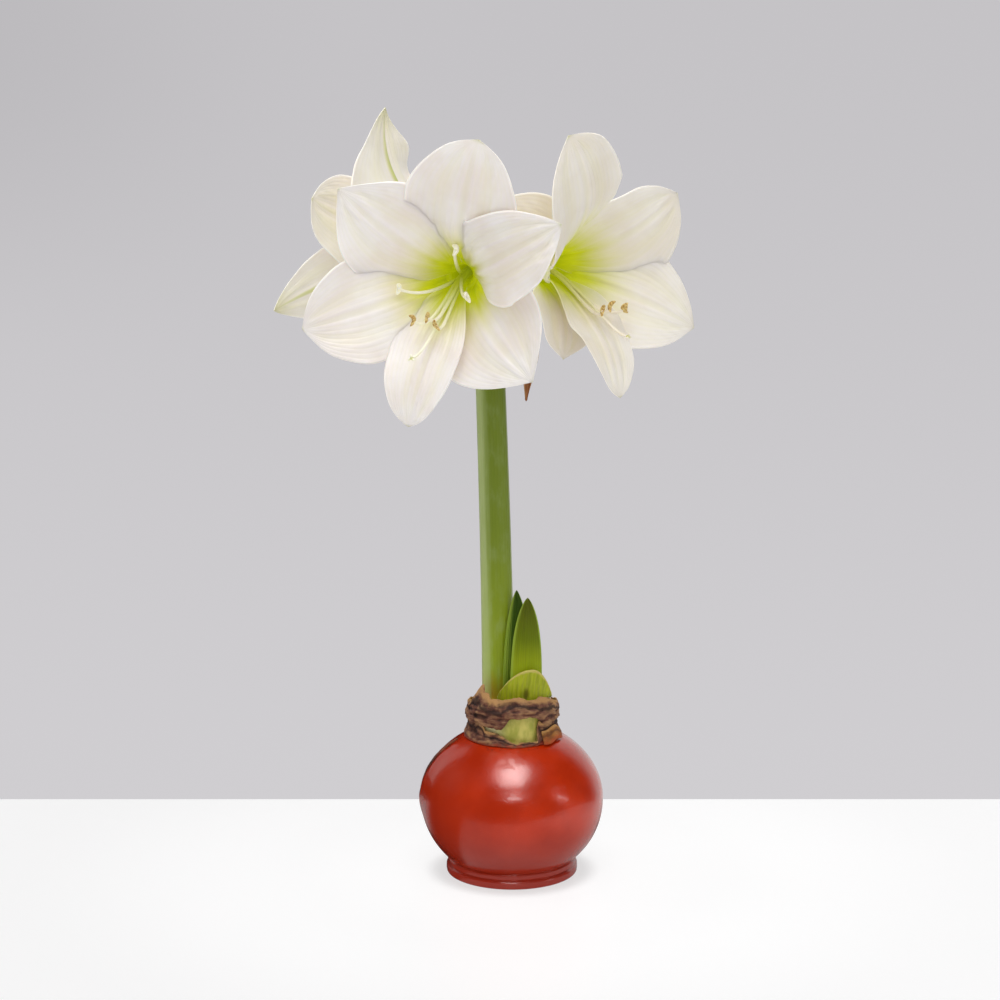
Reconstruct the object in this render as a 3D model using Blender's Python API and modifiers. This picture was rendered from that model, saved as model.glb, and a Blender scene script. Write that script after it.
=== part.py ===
"""Waxed amaryllis: a bulb dipped in red wax, with a tall scape of three white blooms and two young leaves.

Metres, +Z up. The origin is the middle of the wax foot's underside, and the blooms' front looks along -Y.
"""

import math
from dataclasses import dataclass

import bmesh
import bpy
from mathutils import Matrix, Vector

# Gap that touching pieces keep
GAP = 0.0003

# Wax coat
WAX_RADIUS = 0.050
WAX_WIDEST_Z = 0.041
WAX_LOWER_RISE = 0.0448
WAX_UPPER_RISE = 0.0420
WAX_WALL = 0.002
WAX_SIDES = 30
FOOT_RADIUS = 0.0360
FOOT_HEIGHT = 0.0085
FOOT_GROOVE_Z = 0.0050
FOOT_FLOOR = 0.006
COLLAR_Z = 0.0765

# Bulb: the fleshy neck above the wax, and the holes that the scape and the leaves stand in
NECK_RADIUS = 0.0224
NECK_TOP_RADIUS = 0.0203
NECK_TOP_Z = 0.0975
SOCKET_FLOOR_Z = 0.088
LEAF_SOCKET = Vector((0.0055, -0.0065, 0.0))
LEAF_SOCKET_WIDE = 0.0123
LEAF_SOCKET_DEEP = 0.0063

# Dry skins round the neck
SKIN_THICKNESS = 0.0009
SKIN_SIDES = 40
LOWER_SKIN_TOP_Z = 0.0908
WINDOW_DEPTH = 0.0100
WINDOW_ARM_DEPTH = 0.0062
UPPER_SKIN_FOOT_Z = 0.0885
UPPER_SKIN_NOTCH = 0.0055
RIM_BACK_Z = 0.0948
RIM_FRONT_RISE = 0.0080
RIM_TAB_RISE = 0.0085
LOWER_SKIN_RADIUS = 0.0237
LOWER_SKIN_FLARE = 0.0022
UPPER_SKIN_RADIUS = 0.0252
WRINKLE = 0.0003
FLAKE_HEIGHT = 0.0088

# Scape
SCAPE_FOOT = Vector((-0.0074, 0.0060, SOCKET_FLOOR_Z + GAP))
SCAPE_TOP = Vector((-0.0127, 0.0030, 0.2985))
SCAPE_FOOT_RADIUS = 0.0089
SCAPE_TOP_RADIUS = 0.0078

# Young leaves and the cut scale that sheathes them
LEAF_THICKNESS = 0.0015
LEAF_CURL = 0.013
SHEATH_THICKNESS = 0.0014
SHEATH_LOW_Z = 0.1010
SHEATH_HIGH_Z = 0.1178

# Blooms
TEPAL_THICKNESS = 0.0010
TEPAL_COLUMNS = 6
TEPAL_ROWS = 9
TEPAL_FOOT_HALF = 0.0030
MIDRIB_STEPS = 40
WHORL_OFFSET = 0.0011
TUBE_LENGTH = 0.014
TUBE_RADIUS = 0.0045
TUBE_SPREAD = 8.0
TUBE_SIDES = 14
TUBE_FLOOR = 0.002
OVARY_LENGTH = 0.013
OVARY_RADIUS = 0.0044
PEDICEL_RADIUS = 0.0028
PEDICEL_RING = 0.0042
FILAMENT_RADIUS = 0.0006
ANTHER_RADIUS = 0.0012
ANTHER_HALF = 0.0026
STIGMA_RADIUS = 0.0013
PAD_RADIUS = 0.0027
PAD_HEIGHT = 0.0025
STAMEN_DROOP = 0.011
STYLE_DROOP = 0.0


@dataclass(frozen=True)
class Tepal:
    """One of a bloom's six tepals.

    Seen from the bloom's front, clock is where it points, in degrees clockwise from up. Its midrib leaves the
    tube along the bloom's axis and leans out to belly and then tip degrees from it.
    """

    clock: float
    length: float
    width: float
    belly: float = 45.0
    tip: float = 95.0
    inner: bool = False
    widest: float = 0.58
    blunt: float = 0.65
    cup: float = 8.0
    wave: float = 0.0016
    phase: float = 0.0


@dataclass(frozen=True)
class Bloom:
    """A bloom: the foot of its tube, where its axis points, its tepals, and the ends of its stamens.

    The stamens' and the style's ends are in the bloom's own frame: right, up and forward of the foot.
    """

    name: str
    foot: Vector
    heading: float
    lift: float
    tepals: tuple
    anthers: tuple
    stigma: tuple
    pedicel_clock: float


BLOOMS = (
    Bloom(
        name="front",
        foot=Vector((-0.0225, -0.0360, 0.3365)),
        heading=-15.0,
        lift=-3.0,
        tepals=(
            Tepal(18, 0.114, 0.060, phase=0.4),
            Tepal(64, 0.109, 0.050, belly=40, tip=90, inner=True, blunt=0.8, cup=20, phase=1.5),
            Tepal(134, 0.090, 0.058, belly=50, blunt=0.5, phase=2.6),
            Tepal(192, 0.100, 0.041, inner=True, phase=3.7),
            Tepal(254, 0.103, 0.055, phase=4.8),
            Tepal(313, 0.095, 0.058, tip=90, inner=True, widest=0.62, blunt=0.6, phase=5.9),
        ),
        anthers=(
            (-0.0144, -0.0158, 0.056),
            (-0.0065, -0.0140, 0.056),
            (-0.0019, -0.0179, 0.056),
            (-0.0240, -0.0020, 0.047),
            (0.0032, 0.0080, 0.037),
            (0.0095, -0.0066, 0.038),
        ),
        stigma=(-0.0118, -0.0330, 0.066),
        pedicel_clock=-145.0,
    ),
    Bloom(
        name="right",
        foot=Vector((0.0080, -0.0120, 0.3370)),
        heading=47.0,
        lift=0.0,
        tepals=(
            Tepal(-34, 0.115, 0.062, blunt=0.5, phase=0.9),
            Tepal(57, 0.091, 0.056, belly=40, tip=90, inner=True, phase=2.0),
            Tepal(115, 0.099, 0.056, belly=40, tip=90, blunt=0.75, phase=3.1),
            Tepal(175, 0.096, 0.037, belly=40, tip=90, inner=True, phase=4.2),
            Tepal(218, 0.074, 0.044, belly=50, tip=100, phase=5.3),
            Tepal(297, 0.091, 0.046, belly=68, tip=125, inner=True, phase=0.5),
        ),
        anthers=(
            (-0.0042, -0.0187, 0.056),
            (0.0025, -0.0173, 0.056),
            (0.0134, -0.0194, 0.056),
            (0.0100, -0.0050, 0.044),
            (-0.0050, 0.0060, 0.037),
            (-0.0110, -0.0080, 0.041),
        ),
        stigma=(0.0030, -0.0320, 0.066),
        pedicel_clock=-25.0,
    ),
    Bloom(
        name="left",
        foot=Vector((-0.0200, 0.0160, 0.3380)),
        heading=-112.0,
        lift=4.0,
        tepals=(
            Tepal(0, 0.101, 0.056, tip=101, widest=0.5, blunt=0.85, phase=1.1),
            Tepal(66, 0.102, 0.049, tip=90, inner=True, phase=2.2),
            Tepal(112, 0.119, 0.048, tip=78, widest=0.5, blunt=0.95, phase=3.3),
            Tepal(182, 0.090, 0.044, inner=True, phase=4.4),
            Tepal(240, 0.102, 0.050, phase=5.5),
            Tepal(300, 0.090, 0.046, inner=True, phase=0.3),
        ),
        anthers=(
            (-0.0100, -0.0180, 0.055),
            (0.0010, -0.0150, 0.057),
            (0.0090, -0.0170, 0.055),
            (0.0140, -0.0060, 0.045),
            (-0.0030, 0.0060, 0.038),
            (-0.0120, -0.0050, 0.043),
        ),
        stigma=(0.0020, -0.0310, 0.066),
        pedicel_clock=95.0,
    ),
)


def smooth(share):
    share = min(max(share, 0.0), 1.0)
    return share * share * (3 - 2 * share)


def bow(start, middle, end, share):
    """A smooth change from start to end, drawn towards middle on the way."""
    return (1 - share) ** 2 * start + 2 * share * (1 - share) * middle + share**2 * end


def bezier(controls, share):
    """The point of a cubic Bezier curve."""
    rest = 1 - share
    first, second, third, last = controls
    return rest**3 * first + 3 * rest**2 * share * second + 3 * rest * share**2 * third + share**3 * last


def clear_scene():
    for obj in list(bpy.data.objects):
        bpy.data.objects.remove(obj, do_unlink=True)


def new_collection(name):
    collection = bpy.data.collections.new(name)
    bpy.context.scene.collection.children.link(collection)
    return collection


def material(name, colour, roughness):
    made = bpy.data.materials.new(name)
    made.use_nodes = True
    shader = made.node_tree.nodes["Principled BSDF"]
    shader.inputs["Base Color"].default_value = (*colour, 1.0)
    shader.inputs["Roughness"].default_value = roughness
    shader.inputs["Metallic"].default_value = 0.0
    return made


def move_to(obj, collection):
    for old in list(obj.users_collection):
        old.objects.unlink(obj)
    collection.objects.link(obj)
    return obj


def object_of(data, name, collection):
    obj = bpy.data.objects.new(name, data)
    collection.objects.link(obj)
    return obj


def finish(obj, look, sharp_deg=40):
    """Gives a piece its material and smooth shading with its sharp edges kept."""
    obj.data.materials.clear()
    obj.data.materials.append(look)
    obj.data.shade_smooth()
    obj.data.set_sharp_from_angle(angle=math.radians(sharp_deg))
    return obj


def made_mesh(obj, collection):
    """Replaces an object by the plain closed mesh that it evaluates to."""
    graph = bpy.context.evaluated_depsgraph_get()
    mesh = bpy.data.meshes.new_from_object(obj.evaluated_get(graph))
    edit = bmesh.new()
    edit.from_mesh(mesh)
    bmesh.ops.remove_doubles(edit, verts=edit.verts, dist=1e-6)
    edit.to_mesh(mesh)
    edit.free()
    name = obj.name
    place = obj.matrix_world.copy()
    bpy.data.objects.remove(obj, do_unlink=True)
    made = object_of(mesh, name, collection)
    made.matrix_world = place
    return made


def turned(name, profile, sides, collection):
    """A solid turned about Z from (radius, height) points that run down its outer side."""
    mesh = bpy.data.meshes.new(name)
    edit = bmesh.new()
    corners = [edit.verts.new((radius, 0.0, height)) for radius, height in profile]
    for first, second in zip(corners, corners[1:]):
        edit.edges.new((first, second))
    edit.to_mesh(mesh)
    edit.free()
    obj = object_of(mesh, name, collection)
    screw = obj.modifiers.new("Turn", "SCREW")
    screw.axis = "Z"
    screw.steps = screw.render_steps = sides
    screw.use_merge_vertices = True
    screw.merge_threshold = 1e-5
    screw.use_smooth_shade = True
    return obj


def tube(name, points, radii, sides, collection):
    """A round solid mesh along a line of points, with a radius at each."""
    curve = bpy.data.curves.new(name, "CURVE")
    curve.dimensions = "3D"
    curve.bevel_depth = 1.0
    curve.bevel_resolution = (sides - 4) // 2
    curve.use_fill_caps = True
    spline = curve.splines.new("POLY")
    spline.points.add(len(points) - 1)
    for point, place, radius in zip(spline.points, points, radii):
        point.co = (*place, 1.0)
        point.radius = radius
    made = object_of(curve, name, collection)
    bpy.context.view_layer.update()
    return made_mesh(made, collection)


def blade(name, columns, rows, place, thickness, collection):
    """A thin solid from a sheet, split into triangles alike on both faces.

    place(along, across) gives each point, for along from 0 to 1 and across from -1 to 1.
    """
    bpy.ops.mesh.primitive_grid_add(x_subdivisions=columns, y_subdivisions=rows, size=2)
    obj = move_to(bpy.context.object, collection)
    obj.name = name
    edit = bmesh.new()
    edit.from_mesh(obj.data)
    for vert in edit.verts:
        vert.co = place((vert.co.y + 1) / 2, vert.co.x)
    bmesh.ops.remove_doubles(edit, verts=edit.verts, dist=1e-5)
    bmesh.ops.triangulate(edit, faces=edit.faces)
    bmesh.ops.recalc_face_normals(edit, faces=edit.faces)
    edit.to_mesh(obj.data)
    edit.free()
    wall = obj.modifiers.new("Thickness", "SOLIDIFY")
    wall.thickness = thickness
    wall.offset = 0.0
    return obj


def strap(controls, aside, half_width, curl):
    """The sheet of a leaf along a Bezier midrib, channelled with the hollow side towards its plant.

    aside is the level way across the leaf, and curl is the radius of its channel.
    """

    def place(along, across):
        middle = bezier(controls, along)
        run = (bezier(controls, along + 0.01) - bezier(controls, along - 0.01)).normalized()
        outward = aside.cross(run).normalized()
        turn = across * half_width(along) / curl
        return middle + aside * curl * math.sin(turn) - outward * curl * (1 - math.cos(turn))

    return place


def union(name, pieces, collection):
    """Joins closed pieces into one body with one Boolean, and removes them."""
    first, *others = pieces
    helpers = new_collection(name + "_pieces")
    for other in others:
        move_to(other, helpers)
    join = first.modifiers.new("Join", "BOOLEAN")
    join.operation = "UNION"
    join.operand_type = "COLLECTION"
    join.collection = helpers
    join.solver = "MANIFOLD"
    bpy.context.view_layer.update()
    joined = made_mesh(first, collection)
    for other in others:
        bpy.data.objects.remove(other, do_unlink=True)
    bpy.data.collections.remove(helpers)
    joined.name = name
    return joined


def cut(obj, cutter):
    """Cuts a solid with another, which stays as a hidden helper."""
    cutter.hide_render = True
    cutter.display_type = "WIRE"
    hole = obj.modifiers.new("Cut " + cutter.name, "BOOLEAN")
    hole.operation = "DIFFERENCE"
    hole.object = cutter


def wax_bow(height, shrink=0.0):
    """Radius of the coat's belly at a height, or of a surface that lies shrink inside it."""
    rise = WAX_LOWER_RISE if height < WAX_WIDEST_Z else WAX_UPPER_RISE
    share = (height - WAX_WIDEST_Z) / (rise - shrink)
    return (WAX_RADIUS - shrink) * math.sqrt(max(1 - share * share, 0.0))


def heights(low, high, count):
    """Heights from low to high, closer together towards both ends."""
    turns = [math.pi * step / count for step in range(count + 1)]
    return [(high + low) / 2 - (high - low) / 2 * math.cos(turn) for turn in turns]


def cavity(clearance):
    """(radius, height) points up the wall of the hollow that the wax leaves, drawn in by a clearance."""
    wall = [(0.0, FOOT_FLOOR + clearance)]
    for height in heights(FOOT_FLOOR + 0.0006, COLLAR_Z, 8):
        radius = max(wax_bow(height, WAX_WALL), NECK_RADIUS + GAP) - clearance
        wall.append((radius, max(height, FOOT_FLOOR + clearance)))
    wall[1] = (wall[1][0] - 0.002, FOOT_FLOOR + clearance)
    return wall


def wax_coat(parts, look):
    """The wax: a shell round the bulb, open at its neck, with a stepped foot to stand on."""
    outside = [(wax_bow(height), height) for height in heights(FOOT_HEIGHT, COLLAR_Z, 11)][::-1]
    lip = [(NECK_RADIUS + GAP + 0.0006, COLLAR_Z + 0.0005), (outside[0][0] - 0.0008, COLLAR_Z + 0.0005)]
    foot = [
        (FOOT_RADIUS - 0.0014, FOOT_HEIGHT),
        (FOOT_RADIUS - 0.0008, FOOT_HEIGHT - 0.0015),
        (FOOT_RADIUS - 0.0008, FOOT_GROOVE_Z + 0.0007),
        (FOOT_RADIUS - 0.0014, FOOT_GROOVE_Z),
        (FOOT_RADIUS, FOOT_GROOVE_Z - 0.0009),
        (FOOT_RADIUS, 0.0010),
        (FOOT_RADIUS - 0.0014, 0.0),
        (0.0, 0.0),
    ]
    return finish(turned("wax_coat", cavity(0.0) + lip + outside[:-1] + foot, WAX_SIDES, parts), look)


def socket(name, centre, wide, deep, helpers):
    """An upright oval cutter from the sockets' floor to well above the neck."""
    depth = 0.03
    bpy.ops.mesh.primitive_cylinder_add(vertices=28, radius=1.0, depth=depth)
    cutter = move_to(bpy.context.object, helpers)
    cutter.name = name
    cutter.location = (centre.x, centre.y, SOCKET_FLOOR_Z + depth / 2)
    cutter.scale = (wide, deep, 1.0)
    return cutter


def bulb(parts, helpers, look):
    """The fleshy bulb that fills the wax, with a hole for the scape and one for the leaves in its neck."""
    neck = [
        (0.0, NECK_TOP_Z),
        (NECK_TOP_RADIUS, NECK_TOP_Z),
        (NECK_TOP_RADIUS + 0.0013, NECK_TOP_Z - 0.0009),
        (NECK_RADIUS, NECK_TOP_Z - 0.0036),
    ]
    solid = turned("bulb", neck + cavity(GAP)[::-1], WAX_SIDES, parts)
    scape_hole = SCAPE_FOOT_RADIUS + GAP
    cut(solid, socket("scape_socket", SCAPE_FOOT, scape_hole, scape_hole, helpers))
    cut(solid, socket("leaf_socket", LEAF_SOCKET, LEAF_SOCKET_WIDE, LEAF_SOCKET_DEEP, helpers))
    return finish(solid, look)


def wrinkle(turn):
    """Small in and out of a dry skin, for a turn round the neck in radians."""
    return WRINKLE * (0.6 * math.sin(9 * turn + 0.7) + 0.4 * math.sin(14 * turn + 2.1))


def within(turn, start, stop, edge=6.0):
    """1 between two bearings in degrees from the front, 0 outside them, and smooth over the edge."""
    bearing = math.degrees(turn)
    return smooth((bearing - start) / edge + 0.5) * smooth((stop - bearing) / edge + 0.5)


def round_neck(turn, radius, height):
    """The point at a bearing in radians, clockwise from the front as the viewer sees it."""
    return Vector((radius * math.sin(turn), -radius * math.cos(turn), height))


def lower_skin_radius(height):
    """The lower skin's middle radius, which flares to the edge of the wax."""
    return LOWER_SKIN_RADIUS + LOWER_SKIN_FLARE * smooth((0.0845 - height) / 0.0075)


def lower_skin(parts, look):
    """The lower dry skin: a wrinkled band on the wax's lip, low at the front where the flesh shows."""

    def place(along, across):
        turn = math.pi * across
        bottom = COLLAR_Z + 0.0005 + GAP
        top = LOWER_SKIN_TOP_Z + 0.0005 * math.sin(5 * turn)
        top -= WINDOW_DEPTH * within(turn, -6, 35) + WINDOW_ARM_DEPTH * within(turn, -37, -6)
        height = bottom + (top - bottom) * along
        return round_neck(turn, lower_skin_radius(height) + wrinkle(turn), height)

    ring = blade("tunic_lower", SKIN_SIDES, 3, place, SKIN_THICKNESS, parts)
    return finish(ring, look)


def upper_skin(parts, look):
    """The upper dry skin: a band over the lower one, whose torn rim is high at the front and has one tab."""

    def place(along, across):
        turn = math.pi * across
        bottom = UPPER_SKIN_FOOT_Z + UPPER_SKIN_NOTCH * within(turn, -10, 40) + 0.0004 * math.sin(7 * turn)
        rim = RIM_BACK_Z + RIM_FRONT_RISE * smooth(math.cos(turn / 2) ** 2 * 1.6 - 0.6)
        rim += 0.0006 * math.sin(6 * turn + 1.0) + 0.0004 * math.sin(11 * turn)
        rim += RIM_TAB_RISE * within(turn, -62, -44, 14)
        height = bottom + (rim - bottom) * along
        drawn_in = 0.0046 * smooth((height - 0.0945) / 0.0115) + 0.3 * max(height - 0.1035, 0.0)
        radius = UPPER_SKIN_RADIUS - drawn_in + 0.5 * wrinkle(turn + 0.4)
        return round_neck(turn, radius, height)

    ring = blade("tunic_upper", SKIN_SIDES, 4, place, SKIN_THICKNESS, parts)
    return finish(ring, look)


def skin_flake(parts, look):
    """A tan flake of skin that lies on the lower band, on the right."""

    def place(along, across):
        turn = math.radians(60 + 20 * across)
        foot = COLLAR_Z + 0.0014 + 0.0006 * math.sin(4 * across + 1)
        height = foot + along * (FLAKE_HEIGHT - 0.0022 * across * across)
        clear = WRINKLE + SKIN_THICKNESS + 2 * GAP
        return round_neck(turn, lower_skin_radius(height) + clear, height)

    return finish(blade("tunic_flake", 6, 4, place, SKIN_THICKNESS, parts), look)


def cut_scale(parts, look):
    """The sheathing scale round the leaves' foot, open behind and cut off at the top."""

    def place(along, across):
        turn = math.radians(8 + 92 * across)
        spread = along * along
        centre = LEAF_SOCKET + Vector((0.0012 * spread, 0.0, 0.0))
        wide = LEAF_SOCKET_WIDE + SHEATH_THICKNESS + 0.0010 * spread
        deep = LEAF_SOCKET_DEEP + SHEATH_THICKNESS + 0.0012 * spread
        from_peak = (across - 0.08) / (0.85 if across > 0.08 else 1.0)
        rise = max(math.cos(math.radians(88 * from_peak)), 0.0) ** 1.2
        top = SHEATH_LOW_Z + (SHEATH_HIGH_Z - SHEATH_LOW_Z) * rise
        height = NECK_TOP_Z + GAP + (top - NECK_TOP_Z - GAP) * along
        return centre + Vector((wide * math.sin(turn), -deep * math.cos(turn), height))

    return finish(blade("cut_scale", 16, 4, place, SHEATH_THICKNESS, parts), look)


def young_leaf(name, foot, tip, aside, half, sharpness, parts, look):
    """A strap leaf: upright, channelled, and drawn in to a rounded point."""
    lean = (tip - foot) / 3
    controls = (foot, foot + Vector((0, 0, lean.z)), tip - lean, tip)

    def half_width(along):
        shoulder = max((along - 0.15) / 0.85, 0.0)
        return half * max(1 - shoulder**sharpness, 0.0) ** 0.75

    return finish(
        blade(name, 6, 10, strap(controls, aside, half_width, LEAF_CURL), LEAF_THICKNESS, parts), look
    )


def leaves(parts, look):
    """The two young leaves, one before the other with their hollow sides together."""
    foot_z = SOCKET_FLOOR_Z + GAP
    front = (Vector((0.0074, -0.0113, foot_z)), Vector((0.0083, -0.0082, 0.1560)))
    back = (Vector((0.0040, -0.0026, foot_z)), Vector((0.0024, -0.0020, 0.1587)))
    young_leaf("leaf_front", *front, Vector((1, 0, 0)), 0.0094, 3.0, parts, look)
    young_leaf("leaf_back", *back, Vector((-1, 0, 0)), 0.0098, 1.9, parts, look)


def scape_centre(share):
    """The stem's middle at a share of its height: upright at the foot, with more lean near the top."""
    middle = SCAPE_FOOT.lerp(SCAPE_TOP, share**1.5)
    middle.z = SCAPE_FOOT.z + (SCAPE_TOP.z - SCAPE_FOOT.z) * share
    return middle


def scape(parts, look):
    """The one thick flower stem, from its hole in the bulb up to the blooms' stalks."""
    shares = [step / 10 for step in range(11)]
    radii = [SCAPE_FOOT_RADIUS + (SCAPE_TOP_RADIUS - SCAPE_FOOT_RADIUS) * share for share in shares]
    return finish(tube("scape", [scape_centre(share) for share in shares], radii, 20, parts), look)


def spathe(name, bearing, reach, drop, length_half, parts, look):
    """A dry bract that leaves the top of the scape on one side, bends over and hangs down."""
    away = Vector((math.sin(bearing), -math.cos(bearing), 0.0))
    foot = SCAPE_TOP + away * (SCAPE_TOP_RADIUS + SKIN_THICKNESS / 2 + GAP + 0.0001)
    foot.z -= 0.0070
    controls = (
        foot,
        foot + Vector((0, 0, 0.014)) + away * 0.0015,
        foot + Vector((0, 0, 0.012)) + away * reach * 1.3,
        foot + Vector((0, 0, -drop)) + away * reach,
    )

    def half_width(along):
        return length_half * (0.35 + 0.65 * math.sin(math.pi * min(along * 1.15, 1.0) ** 0.8)) * (
            max(1 - along**4, 0.0) ** 0.9
        )

    sheet = strap(controls, Vector((0, 0, 1)).cross(away), half_width, SCAPE_TOP_RADIUS + SKIN_THICKNESS)
    return finish(blade(name, 6, 12, sheet, SKIN_THICKNESS, parts), look)


def bloom_frame(bloom):
    """The bloom's own frame: X right, Y up and Z along its axis, with its origin at the tube's foot."""
    heading, lift = math.radians(bloom.heading), math.radians(bloom.lift)
    axis = Vector((
        math.sin(heading) * math.cos(lift),
        -math.cos(heading) * math.cos(lift),
        math.sin(lift),
    ))
    up = (Vector((0, 0, 1)) - axis * axis.z).normalized()
    right = up.cross(axis)
    frame = Matrix((right, up, axis)).transposed().to_4x4()
    frame.translation = bloom.foot
    return frame


def midrib(length, belly, tip):
    """(radius, height, tilt) at even steps from the tube's foot to a tepal's tip."""
    radius, height, steps = TUBE_RADIUS, 0.0, []
    for step in range(MIDRIB_STEPS + 1):
        tilt = math.radians(bow(TUBE_SPREAD, belly, tip, step / MIDRIB_STEPS))
        steps.append((radius, height, tilt))
        radius += math.sin(tilt) * length / MIDRIB_STEPS
        height += math.cos(tilt) * length / MIDRIB_STEPS
    return steps


def tepal_half(tepal, share):
    """Half the tepal's width at a share of its length."""
    full = tepal.width / 2
    if share < tepal.widest:
        return TEPAL_FOOT_HALF + (full - TEPAL_FOOT_HALF) * smooth(share / tepal.widest) ** 1.25
    rest = (share - tepal.widest) / (1 - tepal.widest)
    return full * max(1 - rest**2.2, 0.0) ** tepal.blunt


def tepal_sheet(tepal):
    """The tepal's middle surface in its bloom's frame: a trough in the tube that opens to a waved blade."""
    steps = midrib(tepal.length, tepal.belly, tepal.tip)
    clock = math.radians(tepal.clock)
    out = Vector((math.sin(clock), math.cos(clock), 0.0))
    aside = Vector((math.cos(clock), -math.sin(clock), 0.0))

    def place(along, across):
        share = 1 - (1 - along) ** 1.35
        index = min(int(share * MIDRIB_STEPS), MIDRIB_STEPS - 1)
        part = share * MIDRIB_STEPS - index
        radius, height, tilt = (a + (b - a) * part for a, b in zip(steps[index], steps[index + 1]))
        face = Vector((0, 0, math.sin(tilt))) - out * math.cos(tilt)
        half = tepal_half(tepal, share)
        spread = across * half
        trough = max(math.cos(tilt), 0.0) / max(radius, 0.004)
        bend = trough + (tepal.cup - trough) * smooth(share / 0.5)
        turn = max(min(bend * spread, 1.4), -1.4)
        lateral = math.sin(turn) / bend
        lift = (1 - math.cos(turn)) / bend
        side_phase = tepal.phase + (1.9 if across > 0 else 0.0)
        crest = tepal.wave * across**2 * 2 * half / tepal.width
        lift += crest * math.sin(3.2 * math.pi * share + side_phase)
        lift += (WHORL_OFFSET if tepal.inner else -WHORL_OFFSET) * smooth(share / 0.12)
        return out * radius + Vector((0, 0, height)) + aside * lateral + face * lift

    return place


def bloom_tube(name, parts):
    """The short tube that the tepals stand on, closed at its foot and open at its mouth."""
    inside, outside = [], []
    for radius, height, _tilt in midrib(0.100, 45.0, 95.0):
        if height < TUBE_LENGTH:
            wall = 0.0008 + 0.0008 * height / TUBE_LENGTH
            inside.append((radius - wall, max(height, TUBE_FLOOR)))
            outside.append((radius + wall, height))
    inside = [(0.0, TUBE_FLOOR)] + inside[::2]
    outside = outside[::2]
    return made_mesh(turned(name, inside + outside[::-1] + [(0.0, 0.0)], TUBE_SIDES, parts), parts)


def bloom_petals(bloom, parts, look):
    """Six tepals in two whorls, joined to their tube."""
    name = "bloom_" + bloom.name
    pieces = [bloom_tube(name, parts)]
    for number, tepal in enumerate(bloom.tepals):
        sheet = tepal_sheet(tepal)
        pieces.append(blade(f"{name}_{number}", TEPAL_COLUMNS, TEPAL_ROWS, sheet, TEPAL_THICKNESS, parts))
    joined = union(name, pieces, parts)
    joined.matrix_world = bloom_frame(bloom)
    return finish(joined, look, 60)


def filament(name, end, lean, droop, parts):
    """A stamen's filament, which dips towards the lower tepals and turns up again at its end."""
    end = Vector(end)
    reach = max((end.z - 0.030) / 0.026, 0.0)
    start = Vector((0.0016 * math.sin(lean), 0.0016 * math.cos(lean), 0.0035))
    controls = (
        start,
        Vector((0.1 * end.x, 0.1 * end.y, 0.5 * end.z)) + start * 0.5,
        Vector((0.45 * end.x, end.y - droop * reach, 0.84 * end.z)),
        end,
    )
    points = [bezier(controls, step / 5) for step in range(6)]
    return tube(name, points, [FILAMENT_RADIUS] * 6, 5, parts)


def stamens(bloom, parts, look):
    """Six stamens and the style, on a small pad in the bottom of the bloom's tube."""
    name = "stamens_" + bloom.name
    bpy.ops.mesh.primitive_cylinder_add(vertices=10, radius=PAD_RADIUS, depth=PAD_HEIGHT)
    pad = move_to(bpy.context.object, parts)
    pad.name = name
    for vert in pad.data.vertices:
        vert.co.z += TUBE_FLOOR + GAP + PAD_HEIGHT / 2
    pieces = [pad]
    for number, end in enumerate(bloom.anthers):
        pieces.append(filament(f"{name}_{number}", end, math.tau * number / 6, STAMEN_DROOP, parts))
        along = Vector((0.35 * math.sin(2.3 * number), 0.9, 0.3)).normalized()
        points = [Vector(end) + along * ANTHER_HALF * step for step in (-1.0, -0.45, 0.45, 1.0)]
        radii = [0.5 * ANTHER_RADIUS, ANTHER_RADIUS, ANTHER_RADIUS, 0.5 * ANTHER_RADIUS]
        pieces.append(tube(f"{name}_anther_{number}", points, radii, 6, parts))
    pieces.append(filament(name + "_style", bloom.stigma, 0.0, STYLE_DROOP, parts))
    bpy.ops.mesh.primitive_ico_sphere_add(subdivisions=1, radius=STIGMA_RADIUS)
    stigma = move_to(bpy.context.object, parts)
    stigma.name = name + "_stigma"
    stigma.location = bloom.stigma
    pieces.append(stigma)
    joined = union(name, pieces, parts)
    joined.matrix_world = bloom_frame(bloom)
    return finish(joined, look, 60)


def pedicel(bloom, parts, look):
    """A bloom's stalk, from the flat top of the scape to its ovary under the tube."""
    axis = bloom_frame(bloom).to_3x3() @ Vector((0, 0, 1))
    clock = math.radians(bloom.pedicel_clock)
    start = SCAPE_TOP + Vector((PEDICEL_RING * math.cos(clock), PEDICEL_RING * math.sin(clock), GAP))
    ovary = bloom.foot - axis * (OVARY_LENGTH + GAP)
    rise = (ovary.z - start.z) * 0.6
    controls = (start, start + Vector((0, 0, rise)), ovary - axis * 0.010, ovary)
    points = [start, start + Vector((0, 0, 0.001))] + [bezier(controls, step / 6) for step in range(1, 7)]
    radii = [PEDICEL_RADIUS] * 7 + [PEDICEL_RADIUS * 1.15]
    for share, radius in ((0.3, 0.95), (0.6, 1.0), (0.85, 0.96), (1.0, 0.9)):
        points.append(ovary + axis * OVARY_LENGTH * share)
        radii.append(OVARY_RADIUS * radius)
    return finish(tube("pedicel_" + bloom.name, points, radii, 10, parts), look)


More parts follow.
